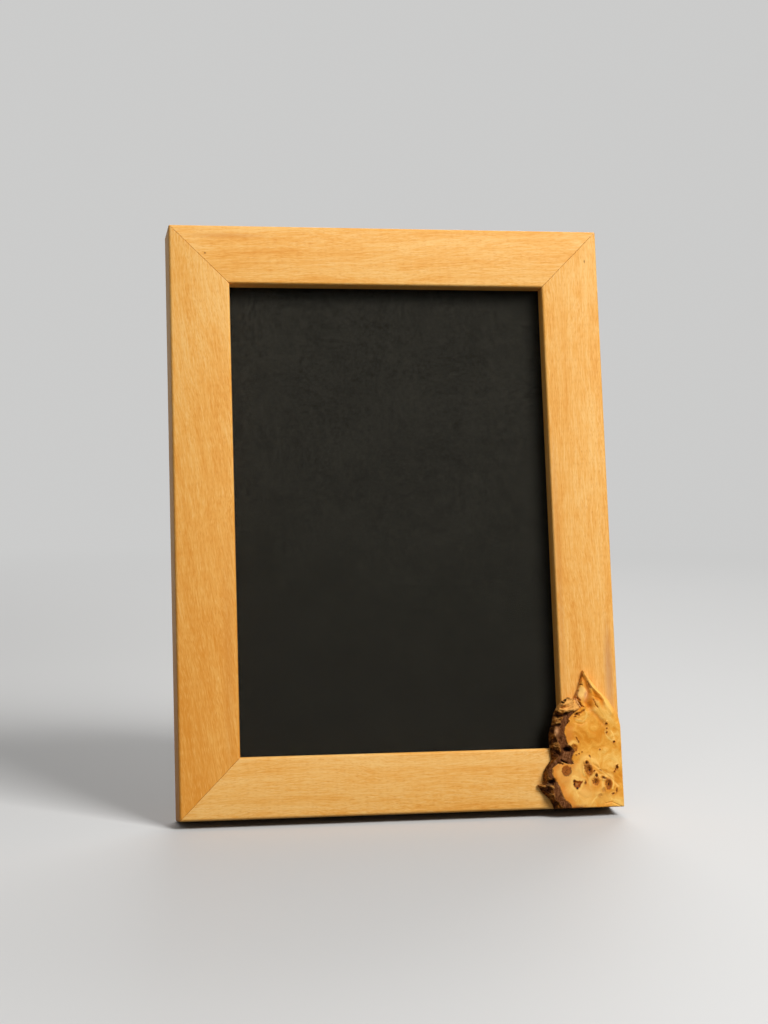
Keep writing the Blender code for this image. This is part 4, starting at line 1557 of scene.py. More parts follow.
    def sculpt(self, piece: Object, corner_x: float) -> None:
        """Raises the blank's face, roughens its bark and paints the masks.

        Args:
            piece: The remeshed blank, its face at minus the blank's thickness in y.
            corner_x: The frame's right edge.
        """
        flat = np.zeros(len(piece.data.vertices) * 3, np.float32)
        piece.data.vertices.foreach_get("co", flat)
        ground = self.survey(flat.reshape(-1, 3).astype(float) / MM, corner_x / MM)
        spots, reach = ground.spots, ground.reach
        inner = ease(spots[:, 0], 0.0, 2.0) * ease(spots[:, 1], 0.0, 2.0)
        under = 0.5 * (1 - ease(reach, 0.0, 1.4)) * np.where(ground.bark, 1, 0.4) * inner - self.skirt(spots)
        bite = np.maximum(0.0, 0.30 + 0.65 * self.bites.over(ground.solid))
        bite *= (1 - ease(reach, 0.0, 1.2)) * np.where(ground.bark, 1, 0.15) * inner
        inward = spots - ground.nearest
        inward /= np.maximum(np.linalg.norm(inward, axis=1), 0.05)[:, None]
        moved = spots + inward * bite[:, None]
        depth = under + (self.heights(ground) - under) * ground.level
        places = np.column_stack((corner_x / MM - moved[:, 0], -depth - GLUED / MM, moved[:, 1]))
        piece.data.vertices.foreach_set("co", (places * MM).astype(np.float32).ravel())
        piece.data.update()
        self.paint(piece, ground)

    def survey(self, places: Field, corner_x: float) -> Ground:
        """Works out where the blank's vertices lie in the layout.

        Args:
            places: The vertices' places, three columns, in millimetres.
            corner_x: The frame's right edge, in millimetres.

        Returns:
            What is known of each vertex.
        """
        spots = np.column_stack((corner_x - places[:, 0], places[:, 2]))
        level = np.clip(-places[:, 1] / self.blank, 0, 1)
        snap = self.voxel * self.snap_share
        level[level < snap / self.blank] = 0
        level[level > 1 - snap / self.blank] = 1
        spots[spots < snap] = self.inset
        solid = np.column_stack((spots, level * self.blank))
        warped = spots + self.warp * np.column_stack([grit.over(solid) for grit in self.warps])
        reach, nearest = line_distance(spots, self.outline[1:])
        bark = ~inside(warped, self.face)
        knob = bark & inside(warped, self.knob)
        band = bark & inside(warped, self.band) & ~knob
        lip_reach, _ = line_distance(spots, self.outline[-self.lip_corners :])
        to_face, _ = line_distance(warped, self.face, closed=True)
        to_band, _ = line_distance(warped, self.band, closed=True)
        layout = (spots, solid, level, reach, nearest, lip_reach, to_face, to_band)
        return Ground(*layout, bark, band, knob, self.crags.over(solid), np.abs(self.flakes.over(solid)))

    def heights(self, ground: Ground) -> Field:
        """Works out how high the slab stands over the rails.

        Args:
            ground: Where its vertices lie.

        Returns:
            The heights in millimetres.
        """
        spots, band, knob, side = ground.spots, ground.band, ground.knob, ground.side
        crags, flakes, reach = ground.crags, ground.flakes, ground.reach
        face = self.relief(ground)
        top = face.copy()
        top[band] += -0.10 + 0.22 * crags[band] - 0.25 * flakes[band]
        planes = self.planes.over(ground.solid)
        top[knob] += 0.70 * planes[knob] + 0.10 * crags[knob] - 0.12 * flakes[knob]
        to_flat = np.where(side, np.minimum(ground.to_band, ground.to_face), 0)
        share = np.clip(reach / np.maximum(reach + to_flat, 1e-6), 0, 1)
        wall = self.bark_edge + (face - self.bark_edge) * share**0.65
        wall += (1.3 * crags - 0.9 * flakes + 0.35) * np.sin(np.pi * share) ** 0.6
        treads = wall / self.terrace
        stepped = self.terrace * (np.floor(treads) + ease(treads % 1.0, 0.45, 1.0))
        wall = (1 - self.terrace_share) * wall + self.terrace_share * stepped
        top[side] = np.maximum(wall, 0.5)[side]
        broad = ease(self.lip_top - spots[:, 1], 0, self.lip_run)
        lip_width = self.lip_narrow + (self.lip_wide - self.lip_narrow) * broad
        lip = np.sin(np.pi / 2 * np.clip(ground.lip_reach / lip_width, 0, 1))
        rim = self.rim + self.petal_rim * ease(spots[:, 1], *self.petal_span)
        edge = np.sqrt(1 - (1 - np.clip(reach / rim, 0, 1)) ** 2)
        rest = np.where(side, self.side_edge + (1 - self.side_edge) * edge, edge)
        drop = np.where(ground.lip_reach < reach + 0.01, lip, rest)
        top = self.edge_height + (top - self.edge_height) * drop
        return self.flush_edges(spots, np.maximum(top, self.least))

    def relief(self, ground: Ground) -> Field:
        """Works out the slab's heights before its bark is roughened and its edges are rounded.

        Args:
            ground: Where its vertices lie.

        Returns:
            The heights in millimetres.
        """
        spots = ground.spots
        height = self.edge_rise + self.slope * spots[:, 0]
        height -= 0.9 * ease(spots[:, 1], 50.0, 57.0)
        height += 0.20 * self.waves.over(ground.solid)
        height += self.ripple * np.sin(self.ripples * self.figure(ground))
        for relief in (*self.reliefs, *self.bark_reliefs):
            gap, _ = line_distance(spots, relief.line)
            height += relief.rise * glow(gap, relief.width)
        for swell in (*self.swells, self.round_knot):
            height += swell.rise * glow(swell.size(spots))
        for eye in self.eyes:
            size = eye.size(spots)
            height -= eye.depth * np.exp(-((size / 0.7) ** 4))
            height += 0.5 * eye.depth * glow(size, 0.40, 1.35)
        gap, _ = line_distance(spots, self.leaf_knot, closed=True)
        height -= np.where(inside(spots, self.leaf_knot), 0.30 * ease(gap, 0.0, 0.6), 0)
        return height - self.hollow_depth * self.hollow_share(spots)

    def figure(self, ground: Ground) -> Field:
        """Works out the field whose level lines the burl's figure follows, crowded round the eyes.

        Args:
            ground: Where the slab's vertices lie.

        Returns:
            The field's value for each vertex.
        """
        field = 0.9 * self.broad_figure.over(ground.solid) + 0.30 * self.close_figure.over(ground.solid)
        for eye in self.eyes:
            field += 0.55 * np.exp(-(eye.size(ground.spots) / 2.2)) * min(1.0, eye.half[0])
        return field

    def hollow_share(self, spots: Field) -> Field:
        """Works out the hollow under the lip.

        Args:
            spots: Each vertex's place, left and up.

        Returns:
            How deep it is, from 0 outside to nearly 1 close below the lip.
        """
        to_lip, _ = line_distance(spots, self.hollow[: self.hollow_lip_corners])
        to_rest, _ = line_distance(spots, self.hollow[self.hollow_lip_corners - 1 :])
        share = ease(to_lip, -0.3, 1.5) * np.exp(-to_lip / 4.0) * ease(to_rest, 0.0, 1.6)
        share *= ease(spots[:, 1], 39.0, 45.0)
        return np.where(inside(spots, self.hollow), share, 0.0)

    def flush_edges(self, spots: Field, top: Field) -> Field:
        """Rounds the face over at the two sides that are flush with the frame."""
        for axis, radius in ((0, self.right_round), (1, self.bottom_round)):
            past = 1 - np.clip(spots[:, axis] / radius, 0, 1)
            top = top - radius * (1 - np.sqrt(1 - past**2))
        return top

    def skirt(self, spots: Field) -> Field:
        """How far the slab's back reaches down over the rails' rounded outer edges."""
        past = 1 - np.clip(spots / self.rail_arris, 0, 1)
        return np.max(self.rail_arris * (1 - np.sqrt(1 - past**2)), axis=1)

    def paint(self, piece: Object, ground: Ground) -> None:
        """Paints the masks that the burl's material reads.

        Args:
            piece: The slab.
            ground: Where its vertices lie.
        """
        rag = np.column_stack([grit.over(ground.solid) for grit in self.rags])
        canvas = Canvas(ground.spots, rag, self.unevenness)
        for eye in self.eyes:
            self.paint_eye(canvas, eye)
        for relief in self.reliefs:
            if relief.line_colour:
                canvas.line(relief.line, relief.line_colour)
        # Pale strokes along the figure's swirls: partly the wood's own figure, partly painted highlight.
        for stroke in self.pale_strokes:
            canvas.line(stroke, LineColour(Mask.STROKE, 0.90, 0.30, True))
        canvas.line(self.knob_gap, LineColour(Mask.DARK, 0.8, 0.3))
        self.paint_petal(canvas, ground.lip_reach)
        for patch in self.patches:
            canvas.patch(patch)
        self.paint_knots(canvas)
        self.paint_bark(canvas, ground)
        canvas.masks[Mask.FIGURE] = self.figure(ground)
        canvas.save(piece)

    def paint_eye(self, canvas: Canvas, eye: Eye) -> None:
        """Paints an eye's heart and ring, the warm wood round it, and a pale crest on one side.

        Args:
            canvas: The slab's masks.
            eye: The eye.
        """
        size = eye.size(canvas.ragged)
        breadth = min(1.0, eye.half[0])
        torn = size + 0.45 * canvas.rag[:, 1] * breadth
        canvas.lay(Mask.DARK, eye.heart * (1 - ease(torn, 0.30, 0.80)))
        worn = 0.70 + 0.30 * ease(torn, 0.5, 0.8) - 0.30 * ease(canvas.rag[:, 0], 0.05, 0.45) * breadth
        canvas.lay(Mask.RUST_AND_SHADE, eye.ring * (1 - ease(size + 0.20 * canvas.rag[:, 0], 0.80, 1.25)) * worn)
        canvas.lay(Mask.WARM, 0.85 * eye.ring * glow(size, 1.7))
        crest = glow(size, 0.45, 1.75) * ease(-spots_lean(canvas.spots, eye.centre), -1.2, 1.2)
        canvas.lay(Mask.STROKE, 0.7 * eye.ring * crest * breadth)

    def paint_petal(self, canvas: Canvas, lip_reach: Field) -> None:
        """Paints the petal with a painted highlight on its upper part, painted shade in the hollow beside it,
        painted highlights along the lip and the right edge, and the drop below them.

        Args:
            canvas: The slab's masks.
            lip_reach: Distances from the outline's curled lip.
        """
        spots = canvas.spots
        within = inside(spots, self.hollow)
        petal = self.petal.size(spots)
        # Painted shade in the hollow under the lip, taken off the bulge and the petal.
        canvas.lay(Mask.HOLLOW_SHADE, np.clip(1.6 * self.hollow_share(spots), 0, 0.9))
        canvas.masks[Mask.HOLLOW_SHADE] *= 1 - 0.7 * glow(self.hollow_bulge.size(spots))
        canvas.patch(self.hollow_floor, within)
        canvas.masks[Mask.HOLLOW_SHADE] *= ease(petal, 0.75, 1.0)
        # Painted highlights along the curled lip and the rounded right edge.
        lip = (1 - ease(lip_reach, 2.2, 4.2)) * ease(spots[:, 1], 34.0, 46.0)
        canvas.lay(Mask.PALE, np.where(within, 0, 0.7 * lip))
        canvas.lay(Mask.PALE, 0.7 * (1 - ease(spots[:, 0], 0.1, 0.8)))
        # A painted highlight on the petal's upper part, and a light pink over the petal.
        canvas.lay(Mask.PALE, (1 - ease(petal, 0.75, 1.05)) * ease(spots[:, 1], 44.6, 46.4))
        canvas.lay(Mask.PINK, 0.25 * (1 - ease(petal, 0.6, 1.0)))
        drop = self.drop.size(spots)
        canvas.lay(Mask.PALE, 0.8 * glow(drop, 0.16, 1) * (spots[:, 1] < self.drop_top) + 0.2 * (drop < 1))

    def paint_knots(self, canvas: Canvas) -> None:
        """Paints the two large knots.

        Args:
            canvas: The slab's masks.
        """
        size = self.round_knot.size(canvas.ragged)
        canvas.lay(Mask.KNOT, 0.90 * (1 - ease(size, 0.85, 1.05)))
        shade = ease(spots_lean(canvas.ragged, self.round_knot.centre), -0.6, 0.8)
        canvas.lay(Mask.DARK, 0.65 * (glow(size, 0.12, 0.98) * shade))
        gap, _ = line_distance(canvas.ragged, self.leaf_knot, closed=True)
        within = inside(canvas.ragged, self.leaf_knot)
        canvas.lay(Mask.KNOT, np.where(within, 1.0 - 0.35 * ease(gap, 0.6, 1.2), 0.9 * glow(gap, 0.22)))
        canvas.lay(Mask.STROKE, np.where(within, 0, 0.6 * glow(gap, 0.5, 0.8)))
        for pit in self.leaf_pits:
            canvas.pit(pit, 0.5, 1.1)

    def paint_bark(self, canvas: Canvas, ground: Ground) -> None:
        """Paints the bark, with painted highlights on its raised parts and painted shade in its low parts, cracks
        and holes, paints the sapwood and warm wood along it, and takes the wood's masks off it.

        Args:
            canvas: The slab's masks.
            ground: Where its vertices lie.
        """
        spots, to_face = ground.spots, ground.to_face
        lower_left = ease(20.5 - spots[:, 1], 0.0, 2.0) * ease(spots[:, 0], 18.0, 23.5)
        canvas.lay(Mask.SAP, 0.80 * glow(to_face, 3.4) * lower_left)
        canvas.lay(Mask.WARM, 0.5 * glow(to_face, 1.6))
        # Painted shade in the holes, and dark spots on the knob.
        for pit in self.pits:
            canvas.pit(pit, 0.7, 1.15)
        # Ridges get a painted highlight, grooves painted shade.
        for relief in self.bark_reliefs:
            mask, share = (Mask.DARK, 0.95) if relief.rise < 0 else (Mask.TAN, 0.55)
            canvas.line(relief.line, LineColour(mask, share, relief.width, True))
        cracks = ease(0.08 - ground.flakes, 0.0, 0.08)
        canvas.lay(Mask.TAN, np.where(ground.knob, 0.95 - 0.45 * cracks, 0))
        # Painted highlights on the raised parts of the bark's side, painted shade in its low parts.
        canvas.lay(Mask.TAN, np.where(ground.side, 0.30 * ease(ground.crags, 0.10, 0.42), 0))
        canvas.lay(Mask.DARK, np.where(ground.side, 0.80 * ease(-ground.crags, 0.08, 0.40), 0))
        for patch in self.side_highlights:
            canvas.patch(patch, ground.side)
        for mask, where in ((Mask.BAND, ground.band), (Mask.SIDE, ground.side)):
            canvas.masks[mask] = np.where(where, ease(to_face, 0.0, 0.22), 0)
        for mask in (Mask.WARM, Mask.HOLLOW_SHADE, Mask.PALE, Mask.SAP, Mask.STROKE):
            canvas.masks[mask][ground.bark] = 0
        canvas.masks[Mask.RUST_AND_SHADE][ground.bark] *= 0.35


def low_corner(space: Space) -> Vector:
    """The frame's lower right front corner, in the frame's own space."""
    low = space.box("bottom_rail")[0]
    return Vector((space.box("right_stile")[1].x, low.y, low.z))


@dataclass
class CornerNails:
    """The bent steel nails sunk across the mitres from behind, and the pockets they sit in."""

    space: Space
    sheet: float = 0.6 * MM
    leg: float = 4.5 * MM
    play: float = 0.15 * MM
    setbacks: tuple[tuple[str, float], ...] = (("outer", 4.0 * MM), ("inner", 10.5 * MM))

    def corners(self) -> list[tuple[str, Matrix, tuple[str, str]]]:
        """Lists the frame's corners.

        Returns:
            Each corner's name, how a lower right corner gets there, and the two rails that meet in it.
        """
        half = self.space.box("right_stile")[1].x
        top = self.space.box("top_rail")[1].z
        return [
            ("bottom_right", Matrix.Translation((half, 0, 0)), ("bottom_rail", "right_stile")),
            ("top_right", Matrix.Translation((half, 0, top)) @ spin(-90), ("top_rail", "right_stile")),
            ("top_left", Matrix.Translation((-half, 0, top)) @ spin(180), ("top_rail", "left_stile")),
            ("bottom_left", Matrix.Translation((-half, 0, 0)) @ spin(90), ("bottom_rail", "left_stile")),
        ]

    def model(self, name: str, setback: float, low: float, high: float, grow: float = 0.0) -> Bench:
        """Models a nail in a lower right corner.

        Args:
            name: The nail's name.
            setback: How far in from both edges its bend lies.
            low: The depth of its point.
            high: The depth of its head.
            grow: How much it is thickened all round.

        Returns:
            The nail on its bench.
        """
        half = self.sheet / 2 + grow
        tip = setback + self.leg + grow
        outline = (
            (half - setback, setback - half), (half - setback, tip), (-half - setback, tip),
            (-half - setback, setback + half), (-tip, setback + half), (-tip, setback - half),
        )
        return Bench.plate(name, [(x, low, z) for x, z in outline], (0, high - low, 0))

    def pockets(self) -> list[tuple[Bench, tuple[str, ...]]]:
        """Models what is cut out of the rails for the nails.

        Returns:
            The cutters and the rails they cut.
        """
        made = []
        for corner, place, rails in self.corners():
            for row, setback in self.setbacks:
                low, high = self.space.box(f"corner_nail_{corner}_{row}")
                start, end = low.y - self.play, high.y + MM
                pocket = self.model(f"pocket_{corner}_{row}", setback, start, end, self.play)
                made.append((pocket.carry(place), rails))
        return made

    def build(self, steel: Material) -> None:
        """Builds the nails.

        Args:
            steel: Their finish.
        """
        for corner, place, _ in self.corners():
            for row, setback in self.setbacks:
                name = f"corner_nail_{corner}_{row}"
                low, high = self.space.box(name)
                nail = self.model(f"{name}_bent", setback, low.y, high.y).soften(0.1 * MM)
                nail.carry(place).finish(self.space, steel, Slot.STEEL, Body.FRAME.value, name)


@dataclass
class TurnButtons:
    """The turn buttons that hold the backing, and the pan head screws that they turn on."""

    space: Space
    tail_radius: float = 4.5 * MM
    tip_radius: float = 3.2 * MM
    hole: float = 1.49 * MM
    ease: float = 0.22 * MM
    shank: float = 1.4 * MM
    hole_play: float = 0.1 * MM
    head: tuple[Point, ...] = (
        (0.0, 1.68), (1.0, 1.66), (1.7, 1.58), (2.25, 1.40), (2.62, 1.10), (2.82, 0.70), (2.88, 0.30),
        (2.80, 0.0),
    )
    sunk: float = 1.7 * MM
    point: float = 3.0 * MM
    slot_length: float = 3.2 * MM
    slot_width: float = 0.6 * MM
    slot_floor: float = 0.85 * MM
    turns: tuple[float, ...] = (12.0, 51.0, 78.0, 33.0, 5.0, 64.0, 22.0, 40.0)

    def places(self) -> list[tuple[str, Vector, float]]:
        """Reads off the CAD where the buttons are.

        Returns:
            Each button's label, its pivot at the screw head's underside, and which way its tongue points.
        """
        found = []
        for node in sorted(frame["nodes"]):
            if node.startswith("turn_button_"):
                label = node.removeprefix("turn_button_")
                low, high = self.space.box(node)
                start, end = self.space.box(f"button_screw_{label}")
                pivot = Vector(((start.x + end.x) / 2, end.y - self.sunk, (start.z + end.z) / 2))
                way = (low + high) / 2 - pivot
                found.append((label, pivot, math.degrees(math.atan2(way.x, way.z))))
        return found

    def holes(self) -> list[tuple[Bench, tuple[str, ...]]]:
        """Models the screws' holes in the rails.

        Returns:
            The cutters and the rails they cut.
        """
        made = []
        for label, pivot, _ in self.places():
            start, end = self.space.box(f"button_screw_{label}")
            bore = self.shank + self.hole_play
            hole = Bench.drum(f"hole_{label}", bore, start.y - pivot.y, end.y - pivot.y, 32)
            hole.carry(Matrix.Translation(pivot) @ spin(-90, "X"))
            side = label.split("_")[0]
            rail = f"{side}_stile" if side in ("left", "right") else f"{side}_rail"
            made.append((hole, (rail,)))
        return made

    def model_button(self, low: float, high: float, reach: float) -> Bench:
        """Models a button round its pivot, its tongue up along z.

        Args:
            low: The depth of its front.
            high: The depth of its back.
            reach: How far the tongue reaches from the pivot.

        Returns:
            The button on its bench.
        """
        tip = (0.0, reach - self.tip_radius)
        lean = math.degrees(math.asin((self.tail_radius - self.tip_radius) / tip[1]))
        outline = arc((0.0, 0.0), self.tail_radius, 180 - lean, 360 + lean, 32)
        outline += arc(tip, self.tip_radius, lean, 180 - lean, 20)
        button = Bench.plate("button_master", [(x, low, z) for x, z in outline], (0, high - low, 0))
        hole = Bench.drum("button_hole", self.hole, -1 * MM, 1 * MM, 40)
        button.combine(hole.carry(Matrix.Translation((0, (low + high) / 2, 0)) @ spin(90, "X")), "DIFFERENCE")
        return button.soften(self.ease, 3)

    def model_screw(self, length: float) -> Bench:
        """Models a screw, its head's underside at z = 0.

        Args:
            length: From the head's underside to the point.

        Returns:
            The screw on its bench.
        """
        profile = [(radius * MM, height * MM) for radius, height in self.head]
        profile += [(self.shank, 0.0), (self.shank, self.point - length), (0.0, -length)]
        screw = Bench.turned("screw_master", profile)
        for turn in (0, 90):
            half, wide = self.slot_length / 2, self.slot_width / 2
            bar = Bench.block("recess", (-half, -wide, self.slot_floor), (half, wide, 3 * MM))
            screw.combine(bar.carry(spin(turn, "Z")), "DIFFERENCE")
        return screw

    def build(self, steel: Material) -> None:
        """Builds the buttons and their screws.

        Args:
            steel: Their finish.
        """
        places = self.places()
        label, pivot, _ = places[0]
        low, high = self.space.box(f"turn_button_{label}")
        start, _ = self.space.box(f"button_screw_{label}")
        reach = max(high.x - low.x, high.z - low.z) - self.tail_radius
        button = self.model_button(low.y - pivot.y, high.y - pivot.y, reach)
        screw = self.model_screw(pivot.y - start.y)
        for (label, pivot, way), turn in zip(places, self.turns):
            node = f"turn_button_{label}"
            place = self.space.within(pivot, spin(way))
            button.copy(f"{node}_plate").finish(place, steel, Slot.STEEL, f"button_{label}", node)
            node = f"button_screw_{label}"
            place = self.space.within(pivot, spin(-90, "X") @ spin(turn, "Z"))
            screw.copy(f"{node}_pan_head").finish(place, steel, Slot.STEEL, Body.FRAME.value, node)
        button.scrap()
        screw.scrap()


@dataclass
class Hinge:
    """The strut's hinge: two leaves round a pin, a stop lug, and the rivets that hold them."""

    fixed: Space
    moving: Space
    half_width: float = 15.0 * MM
    length: float = 19.0 * MM
    knuckle: float = 2.4 * MM
    thickness: float = 1.0 * MM
    bore: float = 1.34 * MM
    middle: float = 5.0 * MM
    gap: float = 0.3 * MM
    notch: float = 3.2 * MM
    corner: float = 2.0 * MM
    ease: float = 0.12 * MM
    lug_low: Span = (-4.0 * MM, -1.35 * MM, 1.87 * MM)
    lug_high: Span = (4.0 * MM, -0.15 * MM, 7.0 * MM)
    pin_radius: float = 1.25 * MM
    pin_half: float = 15.1 * MM
    rivet_across: float = 8.0 * MM
    rivet_setback: float = 12.0 * MM
    rivet_radius: float = 1.25 * MM
    rivet_play: float = 0.1 * MM
    dome_height: float = 0.8 * MM
    foot_height: float = 0.7 * MM
    foot_radius: float = 2.25 * MM
    head: tuple[Point, ...] = ((0.0, 0.78), (0.8, 0.72), (1.45, 0.55), (1.9, 0.28), (2.05, 0.04), (2.05, 0.0))
    dome: tuple[Point, ...] = ((0.0, 0.78), (0.9, 0.71), (1.6, 0.52), (2.1, 0.25), (2.25, 0.05), (2.25, 0.0))

    def leaf(self, name: str, side: int) -> Bench:
        """Models a leaf, its plate up for side 1 and down for -1.

        Args:
            name: The leaf's name.
            side: 1 for the leaf on the backing board, -1 for the one on the leg.

        Returns:
            The leaf on its bench.
        """
        face = self.thickness - self.knuckle
        covered = math.degrees(math.acos(-face / self.knuckle))
        outline = [(-self.knuckle, side * self.length)]
        outline += arc((0.0, 0.0), self.knuckle, 180, 180 + side * (360 - covered), 40)
        outline += [(face, side * self.length)]
        half = self.half_width
        leaf = Bench.plate(name, [(-half, y, z) for y, z in outline], (2 * half, 0, 0))
        leaf.pick("EDGE", lambda e: runs_along(e, 1) and lies_at(e, 2, side * self.length))
        leaf.bevel(self.corner, 8)
        spans = [(-self.middle - self.gap, self.middle + self.gap)]
        if side < 0:
            spans = [(-half - MM, -self.middle), (self.middle, half + MM)]
        reach = 2 * self.knuckle
        for low, high in spans:
            notch = Bench.block("notch", (low, -reach, -self.notch), (high, reach, self.notch))
            leaf.combine(notch, "DIFFERENCE")
        bore = Bench.drum("bore", self.bore, -half - MM, half + MM)
        leaf.combine(bore.carry(spin(90)), "DIFFERENCE")
        for across in (-self.rivet_across, self.rivet_across):
            hole = Bench.drum("rivet_hole", self.rivet_radius + self.rivet_play, -5 * MM, 5 * MM, 32)
            place = Matrix.Translation((across, 0, side * self.rivet_setback))
            leaf.combine(hole.carry(place @ spin(90, "X")), "DIFFERENCE")
        return leaf

    def build(self, steel: Material) -> None:
        """Builds the leaves, the pin and the rivets.

        Args:
            steel: Their finish.
        """
        fixed = self.leaf("hinge_leaf_fixed_plate", 1).soften(self.ease)
        fixed.finish(self.fixed, steel, Slot.STEEL, Body.FRAME.value, "hinge_leaf_fixed")
        moving = self.leaf("hinge_leaf_moving_plate", -1)
        lug = Bench.block("stop_lug", self.lug_low, self.lug_high)
        moving.combine(lug.carry(self.moving.matrix.inverted() @ self.fixed.matrix), "UNION")
        moving.soften(self.ease)
        moving.finish(self.moving, steel, Slot.STEEL, Body.STRUT.value, "hinge_leaf_moving")
        top = [(radius * MM, self.pin_half + height * MM) for radius, height in self.head]
        profile = [*top, (self.pin_radius, self.pin_half), (self.pin_radius, -self.pin_half)]
        profile += [(radius, -height) for radius, height in reversed(top)]
        pin = Bench.turned("hinge_pin_headed", profile)
        pin.carry(spin(90)).finish(self.fixed, steel, Slot.STEEL, Body.FRAME.value, "hinge_pin")
        self.rivets(steel)

    def rivets(self, steel: Material) -> None:
        """Builds the rivets of both leaves.

        Args:
            steel: Their finish.
        """
        groups = (
            ("leaf_rivet", self.fixed, Body.FRAME, self.rivet_setback),
            ("leg_rivet", self.moving, Body.STRUT, -self.rivet_setback),
        )
        for prefix, space, body, up in groups:
            for label, across in (("left", -self.rivet_across), ("right", self.rivet_across)):
                name = f"{prefix}_{label}"
                low, high = space.box(name)
                face = high.y - self.dome_height
                length = face - low.y
                profile = [(radius * MM, height * MM) for radius, height in self.dome]
                profile += [(self.rivet_radius, 0.0), (self.rivet_radius, self.foot_height - length)]
                if body is Body.FRAME:
                    profile += [(self.foot_radius, self.foot_height - length)]
                profile += [(self.foot_radius, -length), (0.0, -length)]
                place = space.within((across, face, up), spin(-90, "X"))
                Bench.turned(f"{name}_domed", profile).finish(place, steel, Slot.STEEL, body.value, name)


@dataclass
class StrutLeg:
    """The leg that the frame leans on, wider at its foot, which is cut level with the floor."""

    space: Space
    half_top: float = 15.0 * MM
    half_foot: float = 25.0 * MM
    ease: float = 0.8 * MM
    bore: float = 1.35 * MM
    rivet_across: float = 8.0 * MM
    rivet_down: float = 12.0 * MM
    foot_gap: float = 0.05 * MM
    past_foot: float = 20.0 * MM
    top_round: float = 3.0 * MM

    def build(self, wood: Material) -> None:
        """Builds the leg.

        Args:
            wood: Its finish.
        """
        low, high = self.space.box("strut_leg")
        past = low.z - self.past_foot
        flare = (self.half_foot - self.half_top) / (high.z - low.z)
        half_past = self.half_foot + flare * (low.z - past)
        outline = ((-self.half_top, high.z), (self.half_top, high.z), (half_past, past), (-half_past, past))
        leg = Bench.plate("strut_leg_board", [(x, low.y, z) for x, z in outline], (0, high.y - low.y, 0))
        inverse = self.space.matrix.inverted()
        down = (inverse.to_3x3() @ Vector((0, 0, -1))).normalized()
        leg.cut(inverse @ Vector((0, 0, self.foot_gap)), down)
        leg.pick("EDGE", lambda e: runs_along(e, 1) and lies_at(e, 2, high.z))
        leg.bevel(self.top_round, 8)
        leg.soften(self.ease, 4)
        for across in (-self.rivet_across, self.rivet_across):
            hole = Bench.drum("leg_bore", self.bore, -9 * MM, 9 * MM, 32)
            place = Matrix.Translation((across, 0, -self.rivet_down))
            leg.combine(hole.carry(place @ spin(90, "X")), "DIFFERENCE")
        leg.finish(self.space, wood, Slot.BEECH, Body.STRUT.value, "strut_leg")


@dataclass
class Panels:
    """What lies in the rebate: glass, card, filler and backing. Their CAD solids are kept and dressed."""

    glass: PictureGlass
    card: CharcoalCard
    filler: PressedBoard
    backing: PressedBoard

    def dress(self) -> None:
        """Gives each panel its finish."""
        dress("glass_pane", self.glass.build())
        dress("print_card", self.card.build())
        dress("filler_board", self.filler.build())
        dress("backing_board", self.backing.build())


def dress(node: str, finish: Material) -> None:
    """Gives a CAD node a material.

    Args:
        node: The node's name.
        finish: The material.
    """
    target = frame["nodes"][node]
    target.data.materials.clear()
    target.data.materials.append(finish)
    LOG.info("%s: CAD solid dressed in %s", node, finish.name)


